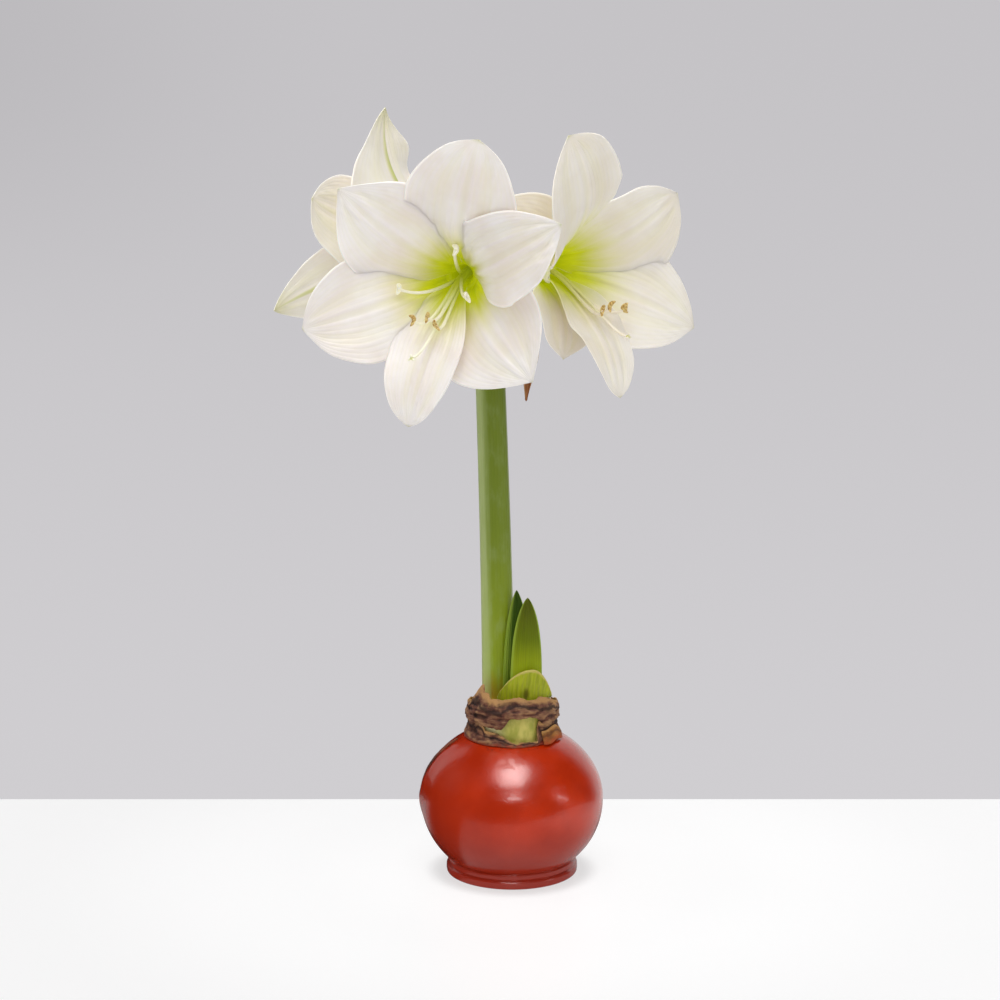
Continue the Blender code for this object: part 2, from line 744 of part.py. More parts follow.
def main():
    clear_scene()
    parts = new_collection("waxed_amaryllis")
    helpers = new_collection("cutters")
    wax = material("red_wax", (0.50, 0.03, 0.01), 0.25)
    flesh = material("bulb_flesh", (0.48, 0.55, 0.14), 0.6)
    dry_skin = material("dry_skin", (0.13, 0.06, 0.04), 0.8)
    tan_skin = material("tan_skin", (0.35, 0.18, 0.07), 0.8)
    leaf = material("young_leaf", (0.16, 0.30, 0.03), 0.4)
    stem = material("scape_green", (0.25, 0.40, 0.08), 0.45)
    petal = material("white_petal", (0.90, 0.88, 0.80), 0.5)
    stamen = material("stamen_cream", (0.80, 0.75, 0.45), 0.5)

    wax_coat(parts, wax)
    bulb(parts, helpers, flesh)
    lower_skin(parts, dry_skin)
    upper_skin(parts, dry_skin)
    skin_flake(parts, tan_skin)
    cut_scale(parts, flesh)
    leaves(parts, leaf)
    scape(parts, stem)
    spathe("spathe_front", math.radians(62), 0.0135, 0.026, 0.0080, parts, tan_skin)
    spathe("spathe_back", math.radians(-118), 0.013, 0.030, 0.0080, parts, tan_skin)
    for bloom in BLOOMS:
        bloom_petals(bloom, parts, petal)
        stamens(bloom, parts, stamen)
        pedicel(bloom, parts, stem)


main()
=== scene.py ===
"""Dresses the waxed amaryllis: finer pieces for the model's nodes, their finishes, and a plain studio.

Metres, +Z up, in the model's own frame. The blooms' front looks along -Y, towards the camera.
"""

import logging
import math
from collections.abc import Callable, Iterable, Sequence
from dataclasses import dataclass, field
from enum import Enum
from functools import partial

import bmesh
import bpy
from bmesh.types import BMEdge, BMesh
from bpy.types import Material, Node, NodeSocket, NodeTree, Object
from mathutils import Matrix, Vector, noise


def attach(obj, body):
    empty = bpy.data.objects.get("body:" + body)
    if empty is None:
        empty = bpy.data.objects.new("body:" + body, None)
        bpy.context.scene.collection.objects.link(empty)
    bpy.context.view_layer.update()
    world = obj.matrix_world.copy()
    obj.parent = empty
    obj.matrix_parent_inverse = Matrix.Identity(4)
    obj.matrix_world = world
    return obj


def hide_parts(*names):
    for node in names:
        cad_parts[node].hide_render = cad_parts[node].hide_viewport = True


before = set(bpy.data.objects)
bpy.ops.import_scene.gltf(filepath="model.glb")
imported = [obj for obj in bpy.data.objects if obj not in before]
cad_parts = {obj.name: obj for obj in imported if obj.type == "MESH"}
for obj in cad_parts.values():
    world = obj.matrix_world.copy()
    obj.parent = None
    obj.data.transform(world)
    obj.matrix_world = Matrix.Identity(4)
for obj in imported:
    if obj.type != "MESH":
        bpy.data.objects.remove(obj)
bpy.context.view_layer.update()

LOG = logging.getLogger("amaryllis")

Spot = tuple[float, float, float]
Colour = tuple[float, float, float, float]
Value = float | Sequence[float] | NodeSocket
Inputs = dict[int | str, Value]
Place = Callable[[float, float], Vector]
Amount = Callable[[float, float], float]
Outline = list[tuple[float, float]]
Looks = Sequence[Material]

BODY = "root"
UV_MAP = "Surface"
RELIEF = "relief"
GAP = 0.0003
MERGE = 1e-6
UP = Vector((0, 0, 1))
BLACK: Colour = (0.0, 0.0, 0.0, 1.0)

# Sizes of the model that several pieces share
WAX_RADIUS = 0.050
WAX_WIDEST_Z = 0.041
WAX_LOWER_RISE = 0.0448
WAX_UPPER_RISE = 0.0420
WAX_WALL = 0.002
FOOT_FLOOR = 0.006
COLLAR_Z = 0.0765
NECK_RADIUS = 0.0224
NECK_TOP_Z = 0.0975
SOCKET_FLOOR_Z = 0.088
LEAF_SOCKET = Vector((0.0055, -0.0065, 0.0))
LEAF_SOCKET_WIDE = 0.0123
LEAF_SOCKET_DEEP = 0.0063
SCAPE_FOOT = Vector((-0.0074, 0.0060, SOCKET_FLOOR_Z + GAP))
SCAPE_TOP = Vector((-0.0127, 0.0030, 0.2985))
SCAPE_FOOT_RADIUS = 0.0089
SCAPE_TOP_RADIUS = 0.0078
SKIN_THICKNESS = 0.0009
LOWER_SKIN_RADIUS = 0.0237
LOWER_SKIN_FLARE = 0.0022
SCALE_PITCH = 0.0033


# Small sums


def smooth(share: float) -> float:
    """Eases a share from 0 to 1, and holds it at both ends."""
    share = min(max(share, 0.0), 1.0)
    return share * share * (3 - 2 * share)


def bow(start: float, middle: float, end: float, share: float) -> float:
    """A smooth change from start to end, drawn towards middle on the way."""
    return (1 - share) ** 2 * start + 2 * share * (1 - share) * middle + share**2 * end


def hump(value: float, centre: float, half_width: float) -> float:
    """A soft bump of height 1 round a centre."""
    return math.exp(-(((value - centre) / half_width) ** 2))


def within(turn: float, start: float, stop: float, edge: float) -> float:
    """1 between two bearings in degrees, 0 outside them, and smooth over the edge.

    Args:
        turn: Bearing in radians, clockwise from the front.
        start: First bearing, in degrees.
        stop: Last bearing, in degrees.
        edge: Width of each soft edge, in degrees.

    Returns:
        A share from 0 to 1.
    """
    bearing = math.degrees(turn)
    return smooth((bearing - start) / edge + 0.5) * smooth((stop - bearing) / edge + 0.5)


def bezier(controls: Sequence[Vector], share: float) -> Vector:
    """The point of a cubic Bezier curve at a share of its length."""
    rest = 1 - share
    first, second, third, last = controls
    return rest**3 * first + 3 * rest**2 * share * second + 3 * rest * share**2 * third + share**3 * last


def wander(point: Vector, size: float) -> float:
    """Smooth noise from about -1 to 1, whose lumps have the given size."""
    return noise.noise(point / size)


def round_neck(turn: float, radius: float, height: float) -> Vector:
    """The point at a bearing round the neck, clockwise from the front as the viewer sees it."""
    return Vector((radius * math.sin(turn), -radius * math.cos(turn), height))


def paint(code: str) -> Colour:
    """A screen colour, written as six hex digits, as a linear one."""
    parts = [int(code[index : index + 2], 16) / 255 for index in (0, 2, 4)]
    linear = [part / 12.92 if part <= 0.04045 else ((part + 0.055) / 1.055) ** 2.4 for part in parts]
    return (*linear, 1.0)


# Mesh tools


def grid(columns: int, rows: int, place: Place) -> BMesh:
    """A sheet bent from a flat grid.

    Args:
        columns: Faces across it.
        rows: Faces along it.
        place: Gives each point, for along from 0 to 1 and across from -1 to 1.

    Returns:
        The sheet, with U across it and V along it.
    """
    mesh = bmesh.new()
    mesh.loops.layers.uv.new(UV_MAP)
    bmesh.ops.create_grid(mesh, x_segments=columns, y_segments=rows, size=1.0, calc_uvs=True)
    for vert in mesh.verts:
        vert.co = place((vert.co.y + 1) / 2, vert.co.x)
    return mesh


def close_holes(mesh: BMesh) -> None:
    """Closes a mesh's open ends and turns its faces outwards.

    Args:
        mesh: The mesh, which is changed itself.
    """
    rims = [edge for edge in mesh.edges if edge.is_boundary]
    if rims:
        bmesh.ops.holes_fill(mesh, edges=rims, sides=0)
    bmesh.ops.recalc_face_normals(mesh, faces=mesh.faces)


def blade(
    columns: int, rows: int, place: Place, thickness: Amount, relief: Amount | None = None, back: int = 1
) -> BMesh:
    """A thin closed solid round a sheet, drawn in to a fine edge at its margins.

    Args:
        columns: Faces across it.
        rows: Faces along it.
        place: The middle surface, for along from 0 to 1 and across from -1 to 1.
        thickness: The wall's thickness at along and across.
        relief: How far the surface stands forward of place, also kept as an attribute in millimetres.
        back: Material index of its back; its front has 0.

    Returns:
        The solid, with U across and V along on both faces.
    """
    mesh = bmesh.new()
    mesh.loops.layers.uv.new(UV_MAP)
    bmesh.ops.create_grid(mesh, x_segments=columns, y_segments=rows, size=1.0, calc_uvs=True)
    wall = mesh.verts.layers.float.new("half")
    tone = mesh.verts.layers.float.new(RELIEF)
    for vert in mesh.verts:
        along, across = (vert.co.y + 1) / 2, vert.co.x
        vert[wall] = thickness(along, across) / 2
        vert[tone] = relief(along, across) if relief else 0.0
        vert.co = place(along, across)
    bmesh.ops.remove_doubles(mesh, verts=mesh.verts, dist=MERGE)
    mesh.normal_update()
    for vert in mesh.verts:
        vert.co += vert.normal * vert[tone]
        vert[tone] *= 1000.0
    mesh.normal_update()
    rim = {vert for edge in mesh.edges if edge.is_boundary for vert in edge.verts}
    for vert in rim:
        vert[wall] = 0.0
    fronts = list(mesh.verts)
    copied = bmesh.ops.duplicate(mesh, geom=mesh.verts[:] + mesh.edges[:] + mesh.faces[:])["geom"]
    turned_faces = [part for part in copied if isinstance(part, bmesh.types.BMFace)]
    backs = [part for part in copied if isinstance(part, bmesh.types.BMVert)]
    shifts = [(vert, vert.normal * vert[wall]) for vert in fronts]
    shifts += [(vert, vert.normal * -vert[wall]) for vert in backs]
    for vert, shift in shifts:
        vert.co += shift
    for face in turned_faces:
        face.material_index = back
    bmesh.ops.reverse_faces(mesh, faces=turned_faces)
    bmesh.ops.remove_doubles(mesh, verts=mesh.verts, dist=MERGE)
    mesh.verts.layers.float.remove(mesh.verts.layers.float["half"])
    return mesh


def tube(
    steps: int,
    sides: int,
    path: Callable[[float], Vector],
    radius: Amount,
    reference: Vector,
    tip: float = 0.0,
) -> BMesh:
    """A closed round solid along a path.

    Args:
        steps: Faces along it.
        sides: Faces round it.
        path: Its middle line, for a share from 0 to 1.
        radius: Its radius at a share and a turn in radians.
        reference: A direction that the path never runs in.
        tip: Share of its length over which its far end is rounded.

    Returns:
        The solid, with U round it and V along it.
    """

    def place(along: float, across: float) -> Vector:
        """The point at a share of the path and a share of half a turn."""
        middle = path(along)
        run = (path(min(along + 0.01, 1.0)) - path(max(along - 0.01, 0.0))).normalized()
        side = run.cross(reference).normalized()
        over = side.cross(run)
        turn = math.pi * across
        width = radius(along, turn)
        if tip and along > 1 - tip:
            width *= math.sqrt(max(1 - ((along - 1 + tip) / tip) ** 2, 0.0))
        return middle + (side * math.cos(turn) + over * math.sin(turn)) * width

    mesh = grid(sides, steps, place)
    bmesh.ops.remove_doubles(mesh, verts=mesh.verts, dist=MERGE)
    close_holes(mesh)
    return mesh


def turned(profile: Iterable[tuple[float, float]], steps: int) -> BMesh:
    """A solid turned about Z.

    Args:
        profile: (radius, height) points; it starts and ends on the axis, or returns to its start.
        steps: Faces round it.

    Returns:
        The closed solid.
    """
    mesh = bmesh.new()
    corners = [mesh.verts.new((0.0, -radius, height)) for radius, height in profile]
    for first, second in zip(corners, corners[1:]):
        mesh.edges.new((first, second))
    outline = mesh.verts[:] + mesh.edges[:]
    bmesh.ops.spin(
        mesh, geom=outline, cent=(0, 0, 0), axis=(0, 0, 1), angle=math.tau, steps=steps, use_merge=True
    )
    bmesh.ops.remove_doubles(mesh, verts=mesh.verts, dist=MERGE)
    bmesh.ops.recalc_face_normals(mesh, faces=mesh.faces)
    return mesh


def gather(parts: Iterable[BMesh]) -> BMesh:
    """Puts several meshes into one.

    Args:
        parts: The meshes; all but the first are freed.

    Returns:
        The first, with the others' faces added.
    """
    whole, *others = parts
    for other in others:
        carrier = bpy.data.meshes.new("carrier")
        other.to_mesh(carrier)
        whole.from_mesh(carrier)
        bpy.data.meshes.remove(carrier)
        other.free()
    return whole


def set_look(mesh: BMesh, index: int) -> BMesh:
    """Gives all of a mesh's faces one material index, and returns the mesh."""
    for face in mesh.faces:
        face.material_index = index
    return mesh


def new_object(name: str, mesh: BMesh, looks: Looks) -> Object:
    """Makes a smooth-shaded object of a mesh, with its place in its vertices.

    Args:
        name: The object's name.
        mesh: Its mesh, which is freed.
        looks: Its materials, in the order of its faces' indices.

    Returns:
        The object, in the scene.
    """
    data = bpy.data.meshes.new(name)
    mesh.to_mesh(data)
    mesh.free()
    for look in looks:
        data.materials.append(look)
    data.shade_smooth()
    made = bpy.data.objects.new(name, data)
    bpy.context.scene.collection.objects.link(made)
    return made


def add_piece(
    name: str, mesh: BMesh, looks: Looks, node: str | None = None
) -> Object:
    """Adds a finished piece to the model.

    Args:
        name: The piece's name.
        mesh: Its mesh, which is freed.
        looks: Its materials, in the order of its faces' indices.
        node: The model's node that it stands for, if any.

    Returns:
        The piece.
    """
    faces = len(mesh.faces)
    made = new_object(name, mesh, looks)
    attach(made, BODY)
    if node:
        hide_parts(node)
    LOG.info("%s: %d faces", name, faces)
    return made


# Shader tools


class Graph:
    """A shader tree, with a short method for each kind of node that the finishes use."""

    def __init__(self, tree: NodeTree) -> None:
        """Works on the given tree."""
        self.tree = tree

    def add(self, kind: str, inputs: Inputs | None = None, **settings: object) -> Node:
        """Adds a node.

        Args:
            kind: The node's type.
            inputs: Values, or sockets to link, by the input's name or number.
            settings: The node's own properties.

        Returns:
            The node.
        """
        node = self.tree.nodes.new(kind)
        for name, value in settings.items():
            setattr(node, name, value)
        for key, value in (inputs or {}).items():
            if isinstance(value, NodeSocket):
                self.tree.links.new(value, node.inputs[key])
            else:
                node.inputs[key].default_value = value
        return node

    def place(self) -> NodeSocket:
        """The point's own coordinates, in metres."""
        return self.add("ShaderNodeTexCoord").outputs["Object"]

    def sheet(self) -> tuple[NodeSocket, NodeSocket, NodeSocket]:
        """The piece's own surface.

        Returns:
            Its UV map, and that map's numbers across and along the piece.
        """
        surface = self.add("ShaderNodeUVMap", uv_map=UV_MAP).outputs["UV"]
        across, along, _ = self.parts(surface)
        return surface, across, along

    def relief(self) -> NodeSocket:
        """How far the surface stands out, in millimetres."""
        return self.add("ShaderNodeAttribute", attribute_name=RELIEF).outputs["Fac"]

    def parts(self, vector: NodeSocket) -> tuple[NodeSocket, NodeSocket, NodeSocket]:
        """A vector's three numbers."""
        outputs = self.add("ShaderNodeSeparateXYZ", {0: vector}).outputs
        return outputs[0], outputs[1], outputs[2]

    def stretch(self, vector: NodeSocket, scale: Sequence[float]) -> NodeSocket:
        """A vector scaled along each axis."""
        return self.add("ShaderNodeMapping", {"Vector": vector, "Scale": scale}).outputs[0]

    def sum(self, operation: str, first: Value, second: Value = 0.0) -> NodeSocket:
        """The result of a Math node."""
        return self.add("ShaderNodeMath", {0: first, 1: second}, operation=operation).outputs[0]

    def plus(self, first: Value, second: Value) -> NodeSocket:
        """Two values added."""
        return self.sum("ADD", first, second)

    def times(self, first: Value, second: Value) -> NodeSocket:
        """Two values multiplied."""
        return self.sum("MULTIPLY", first, second)

    def apart(self, first: Value, second: Value) -> NodeSocket:
        """The distance between two values."""
        return self.sum("ABSOLUTE", self.sum("SUBTRACT", first, second))

    def sway(self, patches: NodeSocket, width: Value) -> NodeSocket:
        """Noise from 0 to 1, drawn to a width and centred on 0."""
        return self.times(self.sum("SUBTRACT", patches, 0.5), width)

    def remap(
        self, value: Value, low: Value, high: Value, to_low: Value = 0.0, to_high: Value = 1.0
    ) -> NodeSocket:
        """A value eased from one range to another, and held at both ends."""
        inputs = {0: value, 1: low, 2: high, 3: to_low, 4: to_high}
        return self.add("ShaderNodeMapRange", inputs, interpolation_type="SMOOTHSTEP").outputs[0]

    def mix(self, share: Value, first: Value, second: Value) -> NodeSocket:
        """A mix of two colours."""
        node = self.add("ShaderNodeMix", {0: share, 6: first, 7: second}, data_type="RGBA")
        return node.outputs[2]

    def wash(
        self, under: Value, over: Value, guide: Value, start: float, full: float, most: float = 1.0
    ) -> NodeSocket:
        """Washes one colour over another.

        Args:
            under: The colour below.
            over: The colour of the wash.
            guide: A value that the wash's strength follows.
            start: The guide's value where the wash starts.
            full: The guide's value from which it is at its strongest.
            most: Its share there.

        Returns:
            The washed colour.
        """
        return self.mix(self.remap(guide, start, full, 0.0, most), under, over)

    def ramp(self, share: NodeSocket, stops: dict[float, Colour]) -> NodeSocket:
        """A colour that changes over a share.

        Args:
            share: A value from 0 to 1.
            stops: The colours, by their places.

        Returns:
            The colour.
        """
        node = self.add("ShaderNodeValToRGB", {0: share})
        elements = node.color_ramp.elements
        while len(elements) < len(stops):
            elements.new(0.5)
        for element, (spot, colour) in zip(elements, sorted(stops.items())):
            element.position = spot
            element.color = colour
        return node.outputs[0]

    def noise(self, vector: NodeSocket, scale: float, detail: float = 3.0, rough: float = 0.55) -> NodeSocket:
        """Noise from 0 to 1."""
        inputs = {"Vector": vector, "Scale": scale, "Detail": detail, "Roughness": rough}
        return self.add("ShaderNodeTexNoise", inputs).outputs[0]

    def streaks(
        self, vector: NodeSocket, scales: Spot, detail: float = 3.0, rough: float = 0.55
    ) -> NodeSocket:
        """Noise from 0 to 1, with a scale of its own along each axis."""
        return self.noise(self.stretch(vector, scales), 1.0, detail, rough)

    def rough(self, patches: NodeSocket, smoothest: float, roughest: float) -> NodeSocket:
        """A roughness that follows the middle range of a noise."""
        return self.remap(patches, 0.3, 0.7, smoothest, roughest)

    def bump(self, height: NodeSocket, depth: float) -> NodeSocket:
        """A normal that follows a height, whose unit is depth metres."""
        inputs = {"Height": height, "Distance": depth, "Strength": 1.0}
        return self.add("ShaderNodeBump", inputs).outputs[0]

    def group(self, tree: NodeTree, **inputs: Value) -> Node:
        """Places a node group; its inputs are named with _ for a space."""
        named = {name.replace("_", " "): value for name, value in inputs.items()}
        return self.add("ShaderNodeGroup", named, node_tree=tree)

    def lines(self, surface: NodeSocket, count: float, waver: float, fineness: float) -> NodeSocket:
        """Veins along a surface, as the vein group draws them."""
        inputs = {"Surface": surface, "Count": count, "Waver": waver, "Fineness": fineness}
        return self.group(VEINS, **inputs).outputs["Lines"]

    def grain(self, place: NodeSocket, coarse: float, fine: float) -> NodeSocket:
        """A small uneven height, as the grain group makes it."""
        return self.group(GRAIN, Place=place, Coarse=coarse, Fine=fine).outputs["Height"]


class SocketKind(Enum):
    """Kinds of socket that the shader groups have."""

    NUMBER = "NodeSocketFloat"
    VECTOR = "NodeSocketVector"
    COLOUR = "NodeSocketColor"


Sockets = dict[str, SocketKind]


def new_group(name: str, inputs: Sockets, outputs: Sockets) -> tuple[Graph, Node, Node]:
    """Starts a shader group.

    Args:
        name: The group's name.
        inputs: Its inputs' names and kinds.
        outputs: Its outputs' names and kinds.

    Returns:
        Its graph, its input node and its output node.
    """
    tree = bpy.data.node_groups.new(name, "ShaderNodeTree")
    for socket, kind in inputs.items():
        tree.interface.new_socket(socket, in_out="INPUT", socket_type=kind.value)
    for socket, kind in outputs.items():
        tree.interface.new_socket(socket, in_out="OUTPUT", socket_type=kind.value)
    graph = Graph(tree)
    return graph, graph.add("NodeGroupInput"), graph.add("NodeGroupOutput")


def vein_group() -> NodeTree:
    """Builds the group that draws fine lines along a leaf or petal.

    Returns:
        A group with Lines at 1 on a vein and 0 between them.
    """
    inputs = {
        "Surface": SocketKind.VECTOR,
        "Count": SocketKind.NUMBER,
        "Waver": SocketKind.NUMBER,
        "Fineness": SocketKind.NUMBER,
    }
    graph, given, result = new_group("Veins", inputs, {"Lines": SocketKind.NUMBER})
    across = graph.parts(given.outputs["Surface"])[0]
    drift = graph.streaks(given.outputs["Surface"], (5.0, 3.0, 1.0), 2.0)
    shifted = graph.sway(drift, given.outputs["Waver"])
    turn = graph.times(graph.plus(across, shifted), given.outputs["Count"])
    wave = graph.sum("COSINE", graph.times(turn, math.tau))
    raised = graph.sum("MULTIPLY_ADD", wave, 0.5)
    raised.node.inputs[2].default_value = 0.5
    lines = graph.sum("POWER", raised, given.outputs["Fineness"])
    graph.tree.links.new(lines, result.inputs["Lines"])
    return graph.tree


def mottle_group() -> NodeTree:
    """Builds the group that varies a colour in soft patches.

    Returns:
        A group with the Colour and the Patches that it follows.
    """
    inputs = {
        "Place": SocketKind.VECTOR,
        "Scale": SocketKind.NUMBER,
        "Dark": SocketKind.COLOUR,
        "Light": SocketKind.COLOUR,
    }
    outputs = {"Colour": SocketKind.COLOUR, "Patches": SocketKind.NUMBER}
    graph, given, result = new_group("Mottle", inputs, outputs)
    inputs = {"Vector": given.outputs["Place"], "Scale": given.outputs["Scale"], "Detail": 4.0}
    texture = graph.add("ShaderNodeTexNoise", inputs)
    patches = graph.remap(texture.outputs[0], 0.32, 0.68)
    colour = graph.mix(patches, given.outputs["Dark"], given.outputs["Light"])
    graph.tree.links.new(colour, result.inputs["Colour"])
    graph.tree.links.new(patches, result.inputs["Patches"])
    return graph.tree


def grain_group() -> NodeTree:
    """Builds the group for the fine relief of skin, wax and flesh.

    Returns:
        A group with the Height of a coarse and a fine grain together, from 0 to 1.
    """
    inputs = {"Place": SocketKind.VECTOR, "Coarse": SocketKind.NUMBER, "Fine": SocketKind.NUMBER}
    graph, given, result = new_group("Grain", inputs, {"Height": SocketKind.NUMBER})
    heights = []
    for size, weight in (("Coarse", 0.7), ("Fine", 0.3)):
        inputs = {"Vector": given.outputs["Place"], "Scale": given.outputs[size], "Detail": 3.0}
        texture = graph.add("ShaderNodeTexNoise", inputs)
        heights.append(graph.times(texture.outputs[0], weight))
    graph.tree.links.new(graph.plus(*heights), result.inputs["Height"])
    return graph.tree


VEINS = vein_group()
MOTTLE = mottle_group()
GRAIN = grain_group()


# Finishes


@dataclass(frozen=True)
class Finish:
    """A surface's look. Each kind of finish says what its shader's inputs are."""

    name: str

    def inputs(self, graph: Graph) -> Inputs:
        """Feeds the shader.

        Args:
            graph: The material's graph, which gets the nodes that feed the shader.

        Returns:
            The shader's inputs.
        """
        raise NotImplementedError

    def material(self) -> Material:
        """Makes the finish into a material.

        Returns:
            The material.
        """
        made = bpy.data.materials.new(self.name)
        made.use_nodes = True
        made.node_tree.nodes.clear()
        graph = Graph(made.node_tree)
        shader = graph.add("ShaderNodeBsdfPrincipled", self.inputs(graph))
        graph.add("ShaderNodeOutputMaterial", {"Surface": shader.outputs["BSDF"]})
        return made


def translucence(weight: float, colours: Spot, depth: float) -> Inputs:
    """The shader's inputs for light that goes a short way into a surface, by colour."""
    return {"Subsurface Weight": weight, "Subsurface Radius": colours, "Subsurface Scale": depth}


@dataclass(frozen=True)
class WaxFinish(Finish):
    """Glossy dipped wax, thin and dirty at its collar, thick at its foot, with painted shade low and on the
    left.
    """

    light: Colour = paint("C43004")
    dark: Colour = paint("B02803")
    # Colour of the painted shade on the lower belly and the left side
    deep: Colour = paint("861C06")
    foot: Colour = paint("A02C1C")
    stain: Colour = paint("4A1C12")

    def inputs(self, graph: Graph) -> Inputs:
        """Feeds the shader, as Finish.inputs says."""
        place = graph.place()
        across, _, height = graph.parts(place)
        body = graph.group(MOTTLE, Place=place, Scale=45.0, Dark=self.dark, Light=self.light)
        # Painted shade: the deep red darkens the lower belly and then the left side
        colour = graph.wash(body.outputs["Colour"], self.deep, height, 0.044, 0.014, 0.7)
        colour = graph.wash(colour, self.deep, across, -0.005, -0.045, 0.6)
        colour = graph.wash(colour, self.foot, height, 0.0105, 0.0065, 0.8)
        specks = graph.remap(graph.noise(place, 420.0, 4.0), 0.56, 0.66)
        thin = graph.times(specks, graph.remap(height, 0.0745, 0.0768, 0.0, 0.5))
        left = graph.remap(across, -0.0445, -0.0490)
        patch = graph.remap(graph.noise(place, 110.0), 0.40, 0.66)
        band = graph.times(left, graph.times(patch, graph.remap(height, 0.030, 0.040, 0.0, 0.40)))
        colour = graph.mix(graph.sum("MAXIMUM", thin, band), colour, self.stain)
        smudge = graph.noise(place, 60.0)
        grain = graph.grain(place, 85.0, 1400.0)
        return {
            "Base Color": colour,
            "Roughness": graph.rough(smudge, 0.17, 0.25),
            "IOR": 1.45,
            "Coat Weight": 0.35,
            "Coat Roughness": 0.09,
            **translucence(0.06, (1.0, 0.25, 0.1), 0.003),
            "Normal": graph.bump(grain, 0.00035),
        }


@dataclass(frozen=True)
class FleshFinish(Finish):
    """The bulb's pale green flesh, with the cut edges of its scales on top."""

    light: Colour = paint("D2C865")
    dark: Colour = paint("A8A83C")
    pale: Colour = paint("E6DEAE")
    edge: Colour = paint("8C6A3C")
    cut: Colour = paint("D9CF9A")

    def inputs(self, graph: Graph) -> Inputs:
        """Feeds the shader, as Finish.inputs says."""
        place = graph.place()
        x, y, height = graph.parts(place)
        streaks = graph.streaks(place, (190.0, 190.0, 90.0))
        side = graph.wash(self.dark, self.light, streaks, 0.30, 0.62)
        side = graph.wash(side, self.pale, x, -0.002, -0.012, 0.75)
        radius = graph.sum("SQRT", graph.plus(graph.times(x, x), graph.times(y, y)))
        wobble = graph.times(graph.noise(place, 110.0, 2.0), 0.0016)
        rings = graph.sum("SINE", graph.times(graph.plus(radius, wobble), math.tau / SCALE_PITCH))
        top = graph.wash(self.cut, self.edge, rings, 0.45, 0.95, 0.85)
        colour = graph.wash(side, top, height, NECK_TOP_Z - 0.0022, NECK_TOP_Z - 0.0006)
        grain = graph.grain(graph.stretch(place, (1.0, 1.0, 0.25)), 420.0, 1900.0)
        return {
            "Base Color": colour,
            "Roughness": graph.rough(streaks, 0.42, 0.58),
            **translucence(0.15, (0.8, 1.0, 0.3), 0.002),
            "Normal": graph.bump(grain, 0.0003),
        }


@dataclass(frozen=True)
class DrySkinFinish(Finish):
    """Papery bulb skin: painted shade in its folds, a painted highlight on its ridges, and paler along its
    torn rim.

    A thin film of wax creeps up it, to waxed metres above the collar; there is none where waxed is 0.
    """

    dark: Colour = paint("210D07")
    middle: Colour = paint("693E2E")
    light: Colour = paint("B48A5E")
    rim: Colour = paint("BE9058")
    rim_start: float = 0.70
    wax: Colour = paint("A8340E")
    waxed: float = 0.0032

    def inputs(self, graph: Graph) -> Inputs:
        """Feeds the shader, as Finish.inputs says."""
        place = graph.place()
        _, _, along = graph.sheet()
        fibres = graph.streaks(place, (150.0, 150.0, 1300.0), 4.0, 0.65)
        blotch = graph.noise(place, 260.0)
        # Painted shade and highlight: darker where the relief dips into a fold, lighter on its ridges
        ridge_shading = graph.remap(graph.relief(), -0.5, 0.6)
        patches = graph.remap(graph.noise(place, 95.0), 0.30, 0.70)
        tone = graph.plus(graph.times(ridge_shading, 0.32), graph.times(fibres, 0.30))
        tone = graph.plus(tone, graph.times(blotch, 0.22))
        tone = graph.plus(tone, graph.times(patches, 0.24))
        body = graph.ramp(tone, {0.33: self.dark, 0.62: self.middle, 0.92: self.light})
        edge = graph.plus(along, graph.sway(blotch, 0.35))
        rim = graph.remap(edge, self.rim_start, self.rim_start + 0.2, 0.0, 0.8)
        # Painted shade: a dark level band below the rim, where the skin creases
        under = graph.remap(graph.apart(edge, self.rim_start - 0.12), 0.14, 0.02)
        body = graph.mix(graph.times(under, 0.8), body, self.dark)
        # Painted highlight: the rim's pale colour is strongest on the ridges
        rim = graph.times(rim, graph.remap(ridge_shading, 0.2, 0.6, 0.45, 1.0))
        grain = graph.plus(fibres, graph.noise(place, 1500.0))
        colour = graph.mix(rim, body, self.rim)
        if self.waxed:
            _, _, height = graph.parts(place)
            ragged = graph.plus(height, graph.sway(blotch, 0.006))
            colour = graph.wash(colour, self.wax, ragged, COLLAR_Z + self.waxed, COLLAR_Z - 0.0004, 0.85)
        return {
            "Base Color": colour,
            "Roughness": graph.rough(fibres, 0.62, 0.85),
            "Specular IOR Level": 0.25,
            "Sheen Weight": 0.04,
            "Normal": graph.bump(grain, 0.00022),
        }


@dataclass(frozen=True)
class LeafFinish(Finish):
    """A strap leaf: parallel veins, a pale foot, a darker tip, and margins paler partly by a painted
    highlight.
    """

    foot: Colour = paint("98A60E")
    middle: Colour = paint("667405")
    tip: Colour = paint("565E0C")
    margin: Colour = paint("96AC3C")
    veins: float = 13.0
    left_lit_margin: float = 0.17
    right_lit_margin: float = 0.06

    def inputs(self, graph: Graph) -> Inputs:
        """Feeds the shader, as Finish.inputs says."""
        surface, across, along = graph.sheet()
        streak = graph.streaks(surface, (26.0, 1.6, 1.0))
        shift = graph.sway(streak, 0.25)
        stops = {0.42: self.foot, 0.66: self.middle, 0.92: self.tip}
        body = graph.ramp(graph.plus(along, shift), stops)
        lines = graph.lines(surface, self.veins, 0.02, 2.5)
        colour = graph.mix(graph.times(lines, 0.10), body, self.margin)
        # Painted highlight on the rolled margins, partly their own paler green: a stripe along each margin,
        # one wider
        drifted = graph.plus(across, shift)
        left = graph.remap(drifted, self.left_lit_margin, 0.03, 0.0, 0.8)
        right = graph.remap(drifted, 1.0 - self.right_lit_margin, 0.97, 0.0, 0.8)
        colour = graph.mix(graph.sum("MAXIMUM", left, right), colour, self.margin)
        return {
            "Base Color": colour,
            "Roughness": graph.rough(streak, 0.30, 0.44),
            "Specular IOR Level": 0.14,
            "Coat Weight": 0.02,
            "Coat Roughness": 0.25,
            **translucence(0.12, (0.5, 1.0, 0.1), 0.002),
            "Normal": graph.bump(lines, 0.00012),
        }


